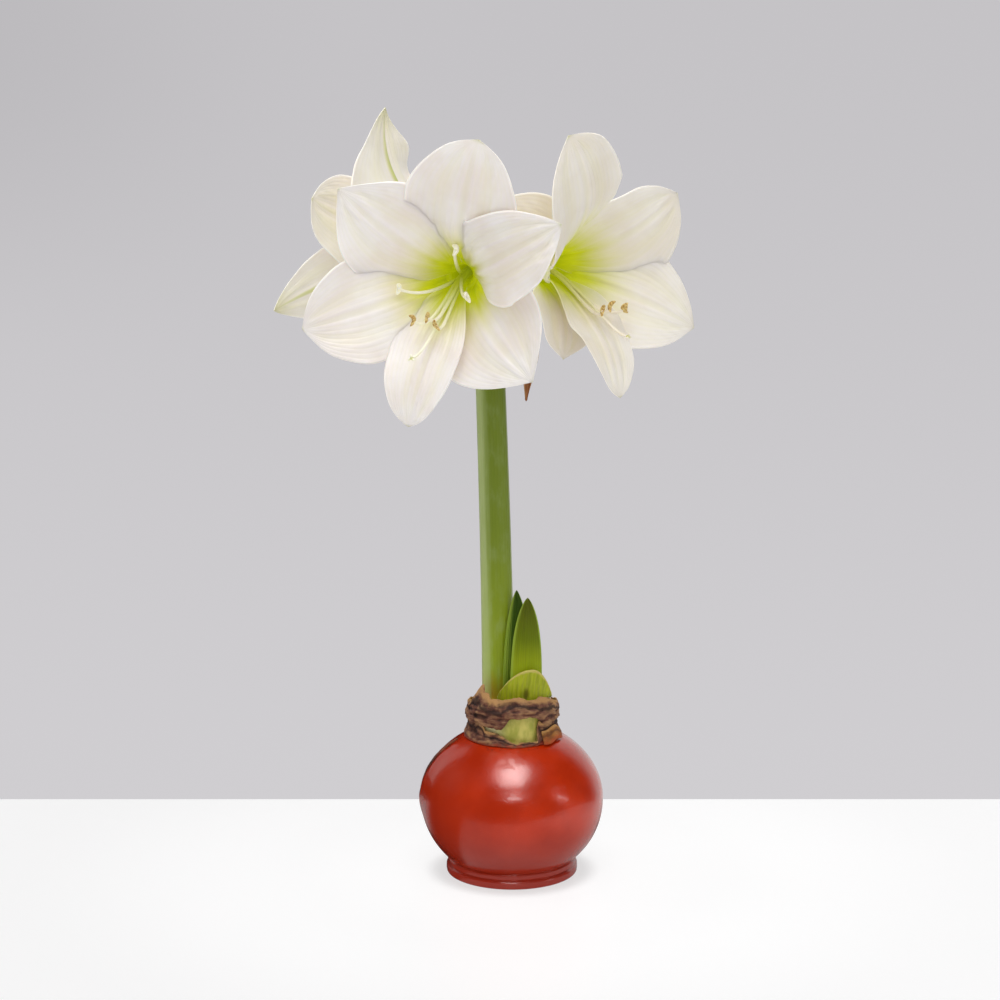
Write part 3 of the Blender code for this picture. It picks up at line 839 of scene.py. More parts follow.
@dataclass(frozen=True)
class StemFinish(Finish):
    """A fleshy stem with faint streaks, a waxy bloom, a painted highlight down one side and a colour that
    changes on its way up.
    """

    foot: Colour = paint("B08E1A")
    low: Colour = paint("8EA012")
    middle: Colour = paint("788A20")
    top: Colour = paint("6B7D1E")
    bloom: Colour = paint("A9B884")
    # Colour of the painted highlight down one side
    pale: Colour = paint("C0CC94")
    lit_side_share: float = 0.5

    def inputs(self, graph: Graph) -> Inputs:
        """Feeds the shader, as Finish.inputs says."""
        surface, across, along = graph.sheet()
        streak = graph.streaks(surface, (34.0, 2.2, 1.0), 4.0)
        shift = graph.sway(streak, 0.10)
        stops = {0.03: self.foot, 0.12: self.low, 0.45: self.middle, 0.97: self.top}
        body = graph.ramp(graph.plus(along, shift), stops)
        place = graph.place()
        dust = graph.noise(graph.stretch(place, (1.0, 1.0, 0.35)), 240.0, 4.0)
        colour = graph.wash(body, self.bloom, dust, 0.45, 0.75, 0.16)
        # Painted highlight: a pale stripe down one side of the stem
        aside = graph.apart(graph.plus(across, shift), 0.43)
        colour = graph.wash(colour, self.pale, aside, 0.15, 0.03, self.lit_side_share)
        lines = graph.lines(surface, 30.0, 0.006, 1.5)
        return {
            "Base Color": colour,
            "Roughness": graph.rough(dust, 0.36, 0.52),
            "Specular IOR Level": 0.3,
            "Sheen Weight": 0.3,
            "Sheen Roughness": 0.3,
            **translucence(0.12, (0.7, 1.0, 0.2), 0.003),
            "Normal": graph.bump(graph.plus(graph.times(lines, 0.6), dust), 0.0001),
        }


@dataclass(frozen=True)
class SheathFinish(Finish):
    """The cut fleshy scale round the leaves: bright green, with a pale cut rim and a dark patch at its
    pressed-in front fold.
    """

    body: Colour = paint("ABB318")
    shade: Colour = paint("929C14")
    rim: Colour = paint("C8B866")
    fold_patch: Colour = paint("5A5214")
    dry: Colour = paint("4A2C12")

    def inputs(self, graph: Graph) -> Inputs:
        """Feeds the shader, as Finish.inputs says."""
        surface, across, along = graph.sheet()
        place = graph.place()
        streak = graph.streaks(surface, (30.0, 2.0, 1.0))
        colour = graph.wash(self.shade, self.body, streak, 0.35, 0.65)
        edge = graph.plus(along, graph.times(graph.noise(place, 500.0, 2.0), 0.05))
        colour = graph.wash(colour, self.rim, edge, 0.93, 0.985, 0.85)
        lines = graph.lines(surface, 20.0, 0.02, 2.0)
        colour = graph.mix(graph.times(lines, 0.12), colour, self.rim)
        # A dark patch on the front fold, darkest at its middle
        notch = {0: graph.stretch(surface, (1.0, 0.22, 1.0)), 1: (0.50, 0.066, 0.0)}
        away = graph.add("ShaderNodeVectorMath", notch, operation="DISTANCE").outputs["Value"]
        colour = graph.wash(colour, self.fold_patch, away, 0.055, 0.015, 0.75)
        drifted = graph.plus(across, graph.times(graph.noise(place, 300.0, 2.0), 0.03))
        colour = graph.wash(colour, self.dry, drifted, 0.935, 0.965)
        return {
            "Base Color": colour,
            "Roughness": graph.rough(streak, 0.34, 0.48),
            "Specular IOR Level": 0.25,
            **translucence(0.2, (0.8, 1.0, 0.2), 0.002),
            "Normal": graph.bump(lines, 0.0001),
        }


@dataclass(frozen=True)
class PetalFinish(Finish):
    """A tepal: off-white and ribbed, with a lime throat, a green midrib, a green tip and a painted glow.

    reach scales how far up the lime goes, keel_strength is the midrib's share of green, and the tip's green
    starts at tip_start of the length.
    """

    white: Colour
    cream: Colour
    throat: Colour = paint("94A004")
    lime: Colour = paint("D3D810")
    pale: Colour = paint("EAE890")
    tip: Colour = paint("D2D290")
    keel: Colour = paint("C2C867")
    # Colours of the painted glow in the throat and along the margins
    painted_glow: Colour = paint("868C00")
    painted_rim_light: Colour = paint("8E8A84")
    reach: float = 1.0
    keel_strength: float = 0.08
    tip_start: float = 0.95

    def inputs(self, graph: Graph) -> Inputs:
        """Feeds the shader, as Finish.inputs says."""
        surface, across, along = graph.sheet()
        place = graph.place()
        aside = graph.apart(across, 0.5)
        streak = graph.streaks(surface, (30.0, 1.4, 1.0))
        clouds = graph.remap(graph.noise(place, 38.0), 0.35, 0.65)
        body = graph.mix(graph.times(clouds, 0.7), self.white, self.cream)
        away = graph.plus(along, graph.sway(streak, 0.12))
        away = graph.plus(away, graph.times(aside, 0.16))
        away = graph.sum("DIVIDE", away, self.reach)
        lines = graph.lines(surface, 19.0, 0.02, 2.0)
        body = graph.mix(graph.times(lines, 0.05), body, self.pale)
        # Painted shade: a little pale yellow-green where the relief sinks into grooves
        body = graph.wash(body, self.pale, graph.relief(), 0.05, -0.45, 0.10)
        rib = graph.remap(aside, 0.050, 0.006, 0.0, self.keel_strength)
        rib = graph.times(rib, graph.remap(along, 0.97, 0.45, 0.35, 1.0))
        body = graph.mix(rib, body, self.keel)
        body = graph.wash(body, self.tip, along, self.tip_start, 1.0, 0.6)
        stops = {0.10: self.throat, 0.22: self.lime, 0.26: self.lime, 0.41: self.pale}
        colour = graph.wash(graph.ramp(away, stops), body, away, 0.20, 0.53)
        # Painted glow: the throat gives off lime light and the margins a pale one, as if lit through
        painted_glow = graph.wash(self.painted_glow, BLACK, away, 0.12, 0.38)
        painted_glow = graph.wash(painted_glow, self.painted_rim_light, aside, 0.470, 0.499)
        fine = graph.streaks(surface, (160.0, 14.0, 1.0))
        height = graph.plus(graph.times(lines, -0.6), graph.times(fine, 0.5))
        return {
            "Base Color": colour,
            "Roughness": graph.rough(fine, 0.42, 0.56),
            "Specular IOR Level": 0.35,
            "Sheen Weight": 0.06,
            **translucence(0.4, (1.0, 0.95, 0.75), 0.0018),
            # Painted glow of the throat and the margins
            "Emission Color": painted_glow,
            "Emission Strength": 0.7,
            "Normal": graph.bump(height, 0.00012),
        }


@dataclass(frozen=True)
class FilamentFinish(Finish):
    """Stamen stalk or style: lime at its foot and cream above, with a faint painted glow."""

    foot: Colour = paint("C6CE3A")
    cream: Colour = paint("F6F2DC")

    def inputs(self, graph: Graph) -> Inputs:
        """Feeds the shader, as Finish.inputs says."""
        surface, _, along = graph.sheet()
        streak = graph.streaks(surface, (9.0, 6.0, 1.0), 2.0)
        share = graph.plus(along, graph.sway(streak, 0.12))
        colour = graph.ramp(share, {0.25: self.foot, 0.70: self.cream})
        return {
            "Base Color": colour,
            # Painted glow: the stalk gives off a little light of its own colour
            "Emission Color": colour,
            "Emission Strength": 0.07,
            "Roughness": graph.rough(streak, 0.35, 0.48),
            **translucence(0.25, (1.0, 1.0, 0.5), 0.001),
            "Normal": graph.bump(streak, 0.00008),
        }


@dataclass(frozen=True)
class PollenFinish(Finish):
    """An anther, rough with pollen, with a faint painted glow."""

    light: Colour = paint("E8D08A")
    dark: Colour = paint("A87E34")

    def inputs(self, graph: Graph) -> Inputs:
        """Feeds the shader, as Finish.inputs says."""
        place = graph.place()
        body = graph.group(MOTTLE, Place=place, Scale=900.0, Dark=self.dark, Light=self.light).outputs
        grain = graph.grain(place, 2500.0, 7000.0)
        return {
            "Base Color": body["Colour"],
            # Painted glow: the anther gives off a little light of its own colour
            "Emission Color": body["Colour"],
            "Emission Strength": 0.12,
            "Roughness": graph.remap(body["Patches"], 0.0, 1.0, 0.75, 0.9),
            "Normal": graph.bump(grain, 0.00018),
        }


@dataclass(frozen=True)
class BractFinish(Finish):
    """A withered papery bract, with dark veins and a pale thin margin."""

    body: Colour = paint("A8662A")
    vein: Colour = paint("5C2E0C")
    margin: Colour = paint("D3A86A")

    def inputs(self, graph: Graph) -> Inputs:
        """Feeds the shader, as Finish.inputs says."""
        surface, across, along = graph.sheet()
        blotch = graph.streaks(surface, (5.0, 3.0, 1.0), 4.0)
        lines = graph.lines(surface, 11.0, 0.05, 3.0)
        share = graph.plus(graph.times(lines, 0.45), graph.remap(blotch, 0.35, 0.7, 0.0, 0.5))
        colour = graph.mix(share, self.body, self.vein)
        aside = graph.apart(across, 0.5)
        colour = graph.wash(colour, self.margin, aside, 0.40, 0.5, 0.7)
        height = graph.plus(lines, blotch)
        return {
            "Base Color": colour,
            "Roughness": graph.rough(blotch, 0.55, 0.8),
            **translucence(0.15, (1.0, 0.5, 0.2), 0.001),
            "Normal": graph.bump(height, 0.0002),
        }


@dataclass(frozen=True)
class TableFinish(Finish):
    """A matt table top with a white glow of its own: painted light, dimmer in a painted contact shadow where
    the object stands on it.

    Painted reflection: for reflected rays it turns dark and stops glowing except in front, to the right and
    behind on the left, so the wax mirrors only those parts.
    """

    white: Colour = paint("747374")
    painted_reflection_dark: Colour = paint("101010")

    def inputs(self, graph: Graph) -> Inputs:
        """Feeds the shader, as Finish.inputs says."""
        place = graph.place()
        away = graph.add("ShaderNodeVectorMath", {0: place}, operation="LENGTH").outputs["Value"]
        dust = graph.noise(place, 900.0, 2.0)
        path = graph.add("ShaderNodeLightPath").outputs
        across, deep, _ = graph.parts(place)
        # Painted reflection: the parts of the table that the wax is allowed to mirror
        left = graph.remap(graph.sum("SUBTRACT", across, graph.times(deep, 1.47)), -0.010, 0.012)
        left = graph.sum("MAXIMUM", left, graph.remap(across, 0.05, 0.09))
        front = graph.remap(graph.plus(deep, graph.times(across, 0.45)), -0.230, -0.200)
        behind = graph.remap(graph.plus(deep, graph.times(across, 0.6)), -0.045, 0.015, 0.0, 0.9)
        behind = graph.times(behind, graph.remap(across, -0.05, -0.08))
        sheet = graph.sum("MAXIMUM", graph.times(left, front), behind)
        least = graph.remap(across, 0.04, 0.16, 0.5, 0.0)
        painted_reflection_mask = graph.times(path["Is Glossy Ray"], graph.remap(sheet, 0.0, 1.0, 1.0, least))
        # Painted light in the glow: a painted contact shadow at the object's foot, a slightly brighter ring
        # round it,
        # dimmer further out, and a little less for rays other than the camera's
        lit = graph.remap(away, 0.05, 0.13, 1.04, 1.0)
        lit = graph.times(lit, graph.remap(away, 0.13, 0.28, 1.0, 0.93))
        lit = graph.times(lit, graph.remap(away, 0.038, 0.050, 0.76, 1.0))
        lit = graph.times(lit, graph.remap(path["Is Camera Ray"], 0.0, 1.0, 0.9, 1.0))
        painted_glow = graph.mix(painted_reflection_mask, lit, BLACK)
        return {
            "Base Color": graph.mix(painted_reflection_mask, self.white, self.painted_reflection_dark),
            "Roughness": graph.rough(dust, 0.42, 0.5),
            "Emission Color": painted_glow,
            "Emission Strength": 0.80,
            "Normal": graph.bump(dust, 0.00003),
        }


# Sub-assemblies


@dataclass
class WaxCoat:
    """The wax: a dipped shell round the bulb, open at its neck, on a stepped foot."""

    foot_radius: float = 0.0360
    foot_height: float = 0.0085
    groove_z: float = 0.0050
    steps: int = 168
    belly_steps: int = 60
    wall_steps: int = 20
    waves: float = 0.00020
    rounding: float = 0.00028
    hard_angle: float = 0.35
    seam_turn: float = -84.0
    seam_height: float = 0.0010
    finish: Finish = WaxFinish("red_wax")

    def bow_at(self, height: float, shrink: float = 0.0) -> float:
        """The belly's radius at a height, or that of a surface that lies shrink inside it."""
        rise = WAX_LOWER_RISE if height < WAX_WIDEST_Z else WAX_UPPER_RISE
        share = (height - WAX_WIDEST_Z) / (rise - shrink)
        return (WAX_RADIUS - shrink) * math.sqrt(max(1 - share * share, 0.0))

    def cavity(self, clearance: float) -> Outline:
        """The wall of the hollow in the wax.

        Args:
            clearance: How far the points are drawn in from it.

        Returns:
            (radius, height) points from the middle of the floor up to the collar.
        """
        wall = [(0.0, FOOT_FLOOR + clearance)]
        for height in spaced(FOOT_FLOOR + 0.0006, COLLAR_Z, self.wall_steps):
            radius = max(self.bow_at(height, WAX_WALL), NECK_RADIUS + GAP) - clearance
            wall.append((radius, max(height, FOOT_FLOOR + clearance)))
        wall[1] = (wall[1][0] - 0.002, FOOT_FLOOR + clearance)
        return wall

    def profile(self) -> Outline:
        """The coat's turned outline.

        Returns:
            (radius, height) points from the hollow's floor over the lip and down to the middle of the foot.
        """
        heights = spaced(self.foot_height, COLLAR_Z, self.belly_steps)[::-1]
        outside = [(self.bow_at(height), height) for height in heights]
        inner, outer = NECK_RADIUS + GAP, outside[0][0]
        lip = [
            (inner + 0.0005, COLLAR_Z + 0.0004),
            ((inner + outer) / 2, COLLAR_Z + 0.0006),
            (outer - 0.0005, COLLAR_Z + 0.0004),
        ]
        wide, step = self.foot_radius, self.foot_radius - 0.0008
        foot = [
            (wide - 0.0014, self.foot_height),
            (step - 0.0001, self.foot_height - 0.0006),
            (step, self.foot_height - 0.0015),
            (step, self.groove_z + 0.0007),
            (wide - 0.0014, self.groove_z),
            (wide - 0.0003, self.groove_z - 0.0006),
            (wide, self.groove_z - 0.0012),
            (wide, 0.0012),
            (wide - 0.0004, 0.0004),
            (wide - 0.0014, 0.0),
            (0.0, 0.0),
        ]
        return self.cavity(0.0) + lip + outside[:-1] + foot

    def unevenness(self, point: Vector) -> float:
        """The waves, dents and seam of the dipped surface.

        Args:
            point: A point of the true turned surface.

        Returns:
            How far the wax stands out there.
        """
        turn = math.atan2(point.x, -point.y)
        out = self.waves * wander(point, 0.020) + 0.00003 * wander(point, 0.0045)
        front = within(turn, -60, 60, 40)
        out -= 0.00012 * hump(point.z, 0.0575, 0.0018) * front
        out += 0.00006 * hump(point.z, 0.0540, 0.0018) * front
        ridge = math.radians(self.seam_turn) + 0.5 * (point.z - 0.05) * 8
        seam = smooth((point.z - 0.030) / 0.012) * hump(turn, ridge, 0.10)
        out += seam * (self.seam_height + 0.0005 * wander(point, 0.004))
        if point.z < self.foot_height + 0.001:
            out += 0.00030 * wander(point, 0.006)
        return out

    def build(self) -> None:
        """Makes the coat."""
        mesh = turned(self.profile(), self.steps)
        rings = [edge for edge in mesh.edges if self.is_hard(edge)]
        bmesh.ops.bevel(
            mesh, geom=rings, offset=self.rounding, offset_type="OFFSET", segments=2, profile=0.5,
            affect="EDGES", material=-1, clamp_overlap=True,
        )
        mesh.normal_update()
        for vert in mesh.verts:
            level = Vector((vert.co.x, vert.co.y, 0.0))
            outer = level.length > self.bow_at(vert.co.z, WAX_WALL / 2) or vert.co.z < FOOT_FLOOR - 0.0002
            if outer and vert.co.z > 0.0002:
                fade = smooth(vert.co.z / 0.002) * smooth((COLLAR_Z + 0.001 - vert.co.z) / 0.004)
                vert.co += level.normalized() * self.unevenness(vert.co) * fade
        add_piece("wax_shell", mesh, [self.finish.material()], "wax_coat")

    def is_hard(self, edge: BMEdge) -> bool:
        """Whether an edge is a level ring of the foot that the wax would round off."""
        first, second = edge.verts
        level = abs(first.co.z - second.co.z) < 1e-5 and first.co.z < self.foot_height + 0.0002
        sharp = len(edge.link_faces) == 2 and edge.calc_face_angle() > self.hard_angle
        return level and sharp and first.co.z > 0.0002


def spaced(low: float, high: float, count: int) -> list[float]:
    """Heights from low to high, closer together towards both ends."""
    turns = [math.pi * step / count for step in range(count + 1)]
    return [(high + low) / 2 - (high - low) / 2 * math.cos(turn) for turn in turns]


@dataclass
class BulbFlesh:
    """The bulb in the wax: its flesh shows at the neck, with a hole for the stem and one for the leaves."""

    wax: WaxCoat
    top_radius: float = 0.0203
    steps: int = 120
    scale_step: float = 0.0006
    finish: Finish = FleshFinish("bulb_flesh")

    def top(self) -> Outline:
        """The neck's top, where the cut scales stand in rings.

        Returns:
            (radius, height) points from the middle out.
        """
        points = []
        for step in range(41):
            radius = self.top_radius * step / 40
            groove = 0.5 - 0.5 * math.cos(math.tau * radius / SCALE_PITCH)
            points.append((radius, NECK_TOP_Z - self.scale_step * groove * smooth(radius / 0.002)))
        return points

    def build(self) -> None:
        """Makes the flesh and bores its two holes."""
        neck = [(self.top_radius + 0.0013, NECK_TOP_Z - 0.0009), (NECK_RADIUS, NECK_TOP_Z - 0.0036)]
        neck += [(NECK_RADIUS, height) for height in (0.0915, 0.0890, 0.0860, 0.0830, 0.0800)]
        mesh = turned(self.top() + neck + self.wax.cavity(GAP)[::-1], self.steps)
        made = add_piece("bulb_flesh", mesh, [self.finish.material()], "bulb")
        hole = SCAPE_FOOT_RADIUS + GAP
        cutters = [
            self.cutter(SCAPE_FOOT, hole, hole),
            self.cutter(LEAF_SOCKET, LEAF_SOCKET_WIDE, LEAF_SOCKET_DEEP),
        ]
        for cutter in cutters:
            cut = made.modifiers.new("Hole", "BOOLEAN")
            cut.operation = "DIFFERENCE"
            cut.object = cutter
        graph = bpy.context.evaluated_depsgraph_get()
        bored = bpy.data.meshes.new_from_object(made.evaluated_get(graph))
        made.modifiers.clear()
        made.data = bored
        for cutter in cutters:
            bpy.data.objects.remove(cutter, do_unlink=True)

    def cutter(self, centre: Vector, wide: float, deep: float) -> Object:
        """An upright oval cutter from the holes' floor to well above the neck.

        Args:
            centre: Its middle; the height isn't used.
            wide: Half its width along X.
            deep: Half its depth along Y.

        Returns:
            The cutter's object.
        """
        depth = 0.03
        mesh = bmesh.new()
        bmesh.ops.create_cone(mesh, cap_ends=True, segments=64, radius1=1.0, radius2=1.0, depth=depth)
        bmesh.ops.scale(mesh, vec=(wide, deep, 1.0), verts=mesh.verts)
        middle = Vector((centre.x, centre.y, SOCKET_FLOOR_Z + depth / 2))
        bmesh.ops.translate(mesh, vec=middle, verts=mesh.verts)
        return new_object("hole_cutter", mesh, [])


@dataclass
class DrySkins:
    """The dry skins round the neck: a lower and an upper band, a flake, and a scrap stuck to the wax."""

    columns: int = 300
    lower_top_z: float = 0.0908
    upper_foot_z: float = 0.0885
    upper_radius: float = 0.0252
    rim_back_z: float = 0.0948
    rim_front_rise: float = 0.0080
    window_depth: float = 0.0060
    window_slope: float = 0.0056
    wrinkle_depth: float = 0.0003
    bark_depth: float = 0.00060
    lump_depth: float = 0.00050
    fibre_depth: float = 0.00016
    flake_turn: float = 59.0
    flake_half_turn: float = 21.0
    flake_height: float = 0.0080
    scrap_turn: float = -92.0
    scrap_foot_z: float = 0.0445
    scrap_length: float = 0.0305
    scrap_thickness: float = 0.0004
    lower_pitch: float = 0.0042
    upper_pitch: float = 0.0050
    flake_pitch: float = 0.0045
    dark: Finish = DrySkinFinish("dry_skin")
    stuck: Finish = DrySkinFinish(
        "stuck_skin", paint("43190D"), paint("77331B"), paint("9C5C3A"), rim=paint("8A4A2C"), waxed=0.0
    )
    tan: Finish = DrySkinFinish(
        "tan_skin", paint("603614"), paint("A06828"), paint("C89A64"),
        rim=paint("BC8C50"), wax=paint("B8461A"), waxed=0.0062,
    )

    def wrinkle(self, turn: float) -> float:
        """The slow in and out of the skins round the neck."""
        return self.wrinkle_depth * (0.6 * math.sin(9 * turn + 0.7) + 0.4 * math.sin(14 * turn + 2.1))

    def folds(self, point: Vector, pitch: float) -> float:
        """Level folds and bark-like lumps of a dry skin.

        Args:
            point: A point on the smooth band.
            pitch: The height from one fold to the next.

        Returns:
            How far the skin stands out there.
        """
        flat = Vector((0.30 * point.x, 0.30 * point.y, point.z))
        bark = 1.4 * (1 - 2 * abs(wander(flat, 0.62 * pitch)))
        bark += 0.5 * (1 - 2 * abs(wander(flat + Vector((0.05, 0, 0)), 0.28 * pitch)))
        lumps = wander(point + Vector((0.1, 0, 0)), 0.0032)
        fine = wander(Vector((0.6 * point.x, 0.6 * point.y, point.z)), 0.0007)
        return self.bark_depth * (bark - 0.6) + self.lump_depth * lumps + self.fibre_depth * fine

    def lower_radius(self, height: float) -> float:
        """The lower band's middle radius, which flares to the edge of the wax."""
        return LOWER_SKIN_RADIUS + LOWER_SKIN_FLARE * smooth((0.0845 - height) / 0.0075)

    def lower_place(self, along: float, across: float) -> Vector:
        """The lower band's middle surface, low at the front where the flesh shows.

        Args:
            along: 0 at its foot to 1 at its rim.
            across: The bearing, as a share of half a turn.

        Returns:
            The point.
        """
        turn = math.pi * across
        bottom = COLLAR_Z + 0.0005 + GAP
        spot = round_neck(turn, LOWER_SKIN_RADIUS, self.lower_top_z)
        top = self.lower_top_z + 0.0005 * math.sin(5 * turn)
        slope = smooth((math.degrees(turn) + 26) / 34)
        top -= (self.window_depth + self.window_slope * slope) * within(turn, -40, 34, 5)
        top += 0.0006 * wander(spot, 0.004) + 0.0004 * wander(spot, 0.0014)
        height = bottom + (top - bottom) * along
        return round_neck(turn, self.lower_radius(height) + self.wrinkle(turn), height)

    def lower_relief(self, along: float, across: float) -> float:
        """The lower band's folds, faded out on the wax's edge."""
        point = self.lower_place(along, across)
        return self.folds(point, self.lower_pitch) * smooth(along / 0.12)

    def upper_place(self, along: float, across: float) -> Vector:
        """The upper band's middle surface, with its torn rim and two tabs.

        Args:
            along: 0 at its foot to 1 at its rim.
            across: The bearing, as a share of half a turn.

        Returns:
            The point.
        """
        turn = math.pi * across
        spot = round_neck(turn, self.upper_radius, self.upper_foot_z)
        ragged = 0.0006 * wander(spot, 0.005) + 0.0004 * wander(spot, 0.0016)
        notch = 0.0044 * within(turn, -7, 37, 16) - 0.0011 * within(turn, -44, -9, 10)
        bottom = self.upper_foot_z + notch + 0.0003 * math.sin(7 * turn) + ragged
        rim = self.rim_back_z + self.rim_front_rise * smooth(math.cos(turn / 2) ** 2 * 1.6 - 0.6)
        rim += 0.0006 * math.sin(6 * turn + 1.0) + 0.0004 * math.sin(11 * turn)
        rim += 0.0070 * within(turn, -72, -52, 8) + 0.0030 * within(turn, -52, -34, 8)
        rim += 0.0016 * within(turn, -112, -76, 10) + 0.0012 * within(turn, 40, 64, 9)
        rim += 0.0005 * wander(spot, 0.003) + 0.0003 * wander(spot, 0.0012)
        height = bottom + (rim - bottom) * along
        drawn_in = 0.0046 * smooth((height - 0.0945) / 0.0115) + 0.3 * max(height - 0.1035, 0.0)
        drawn_in += 0.0014 * within(turn, -130, -50, 40) * smooth((height - 0.0890) / 0.004)
        radius = self.upper_radius - drawn_in + 0.5 * self.wrinkle(turn + 0.4)
        return round_neck(turn, radius, height)

    def upper_relief(self, along: float, across: float) -> float:
        """The upper band's folds, weaker near its rim."""
        point = self.upper_place(along, across)
        return self.folds(point, self.upper_pitch) * (1 - 0.6 * smooth((along - 0.55) / 0.45))

    def flake_place(self, along: float, across: float) -> Vector:
        """The flake's middle surface, on the lower band at the right.

        Args:
            along: 0 at its foot to 1 at its top.
            across: -1 at its left edge to 1 at its right edge.

        Returns:
            The point.
        """
        turn = math.radians(self.flake_turn + self.flake_half_turn * across)
        foot = COLLAR_Z + 0.0012 + 0.0006 * math.sin(4 * across + 1)
        drop = (0.0024 if across > 0 else 0.0008) * across * across
        height = foot + along * (self.flake_height - drop)
        clear = self.wrinkle_depth + SKIN_THICKNESS + 2 * GAP
        return round_neck(turn, self.lower_radius(height) + clear, height)

    def flake_relief(self, along: float, across: float) -> float:
        """Faint folds in the flake."""
        return 0.4 * self.folds(self.flake_place(along, across), self.flake_pitch)

    def scrap_place(self, along: float, across: float) -> Vector:
        """The scrap's middle surface: it clings to the wax's shoulder on the left.

        Args:
            along: 0 at its foot to 1 at its top.
            across: -1 at its left edge to 1 at its right edge.

        Returns:
            The point.
        """
        height = self.scrap_foot_z + self.scrap_length * along
        spot = Vector((along, across, 0.0)) * 0.01
        swell = 0.4 + 0.6 * math.sin(math.pi * (0.1 + 0.85 * along))
        reach = 4.5 * swell * (1 + 0.4 * wander(spot, 0.0021))
        turn = math.radians(self.scrap_turn + 4 * (along - 0.3) + reach * across)
        radius = WaxCoat().bow_at(height) + 0.00040 + 0.0003 * wander(spot, 0.0016)
        return round_neck(turn, radius, height)

    def build(self) -> None:
        """Makes the two bands, the flake and the scrap."""
        dark, tan = self.dark.material(), self.tan.material()

        def thin(along: float, across: float) -> float:
            """The bands' and the flake's thickness, the same all over."""
            return SKIN_THICKNESS * 0.8

        def film(along: float, across: float) -> float:
            """The scrap's thickness, the same all over."""
            return self.scrap_thickness

        lower = blade(self.columns, 44, self.lower_place, thin, self.lower_relief, back=0)
        add_piece("lower_skin", lower, [dark], "tunic_lower")
        upper = blade(self.columns, 48, self.upper_place, thin, self.upper_relief, back=0)
        add_piece("upper_skin", upper, [dark], "tunic_upper")
        flake = blade(44, 34, self.flake_place, thin, self.flake_relief, back=0)
        add_piece("skin_flake", flake, [tan], "tunic_flake")
        scrap = blade(24, 60, self.scrap_place, film, back=0)
        add_piece("wax_scrap", scrap, [self.stuck.material()])


@dataclass
class LeafSheath:
    """The fleshy scale round the leaves' foot, open behind and cut off at the top."""

    thickness: float = 0.0014
    low_z: float = 0.1010
    high_z: float = 0.1178
    finish: Finish = SheathFinish("cut_scale")

    def place(self, along: float, across: float) -> Vector:
        """The scale's middle surface, cut off in a slanting arch.

        Args:
            along: 0 at its foot to 1 at its top.
            across: -1 at its left edge to 1 at its right edge.

        Returns:
            The point.
        """
        turn = math.radians(8 + 92 * across)
        spread = along * along
        centre = LEAF_SOCKET + Vector((0.0012 * spread, 0.0, 0.0))
        wide = LEAF_SOCKET_WIDE + self.thickness + 0.0010 * spread
        deep = LEAF_SOCKET_DEEP + self.thickness + 0.0012 * spread
        from_peak = (across - 0.08) / (0.85 if across > 0.08 else 1.0)
        rise = max(math.cos(math.radians(88 * from_peak)), 0.0) ** (1.7 if across > 0.08 else 1.2)
        top = self.low_z + (self.high_z - self.low_z) * rise
        foot = NECK_TOP_Z + GAP
        return centre + Vector((wide * math.sin(turn), -deep * math.cos(turn), foot + (top - foot) * along))

    def relief(self, along: float, across: float) -> float:
        """Faint ribs, and a fold that is pressed in at the front."""
        ribs = 0.00006 * math.cos(44 * across + 0.6 * math.sin(5 * along))
        fold = 0.0010 * hump(across, 0.0, 0.09) * hump(along, 0.25, 0.28)
        return ribs - fold + 0.0003 * wander(self.place(along, across), 0.006)

    def wall(self, along: float, across: float) -> float:
        """The scale's thickness, less towards its side edges."""
        return self.thickness * (1 - 0.5 * across**4)

    def build(self) -> None:
        """Makes the scale."""
        mesh = blade(120, 56, self.place, self.wall, self.relief, back=0)
        add_piece("leaf_sheath", mesh, [self.finish.material()], "cut_scale")


@dataclass
class Strap:
    """A leaf or bract along a Bezier midrib, channelled with its hollow side towards its plant.

    aside is the level way across it, and curl is the radius of its channel.
    """

    controls: tuple[Vector, Vector, Vector, Vector]
    aside: Vector
    curl: float
    half_width: Callable[[float], float]

    def place(self, along: float, across: float) -> Vector:
        """The middle surface.

        Args:
            along: 0 at its foot to 1 at its tip.
            across: -1 at its left edge to 1 at its right edge.

        Returns:
            The point.
        """
        middle = bezier(self.controls, along)
        run = (bezier(self.controls, along + 0.01) - bezier(self.controls, along - 0.01)).normalized()
        outward = self.aside.cross(run).normalized()
        turn = across * self.half_width(along) / self.curl
        return middle + self.aside * self.curl * math.sin(turn) - outward * self.curl * (1 - math.cos(turn))


@dataclass
class YoungLeaf:
    """A strap leaf: upright, channelled, and drawn in to a rounded point."""

    name: str
    foot: Vector
    tip: Vector
    aside: Vector
    half: float
    sharpness: float
    thickness: float = 0.0015
    curl: float = 0.013

    def half_width(self, along: float) -> float:
        """Half the leaf's width at a share of its length."""
        shoulder = max((along - 0.15) / 0.85, 0.0)
        return self.half * max(1 - shoulder**self.sharpness, 0.0) ** 0.75

    def relief(self, along: float, across: float) -> float:
        """Parallel ribs, and a shallow keel along the middle."""
        ribs = 0.00007 * math.cos(13 * math.pi * across)
        return ribs * (1 - along**3) + 0.0003 * hump(across, 0.0, 0.14)

    def wall(self, along: float, across: float) -> float:
        """The leaf's thickness, less towards its margins and tip."""
        return self.thickness * (1 - 0.55 * across * across) * (1 - 0.4 * along)

    def build(self, looks: Looks) -> None:
        """Makes the leaf, with a material for its outer face and one for its inner face."""
        lean = (self.tip - self.foot) / 3
        controls = (self.foot, self.foot + UP * lean.z, self.tip - lean, self.tip)
        strap = Strap(controls, self.aside, self.curl, self.half_width)
        mesh = blade(64, 120, strap.place, self.wall, self.relief)
        add_piece(self.name + "_blade", mesh, looks, self.name)


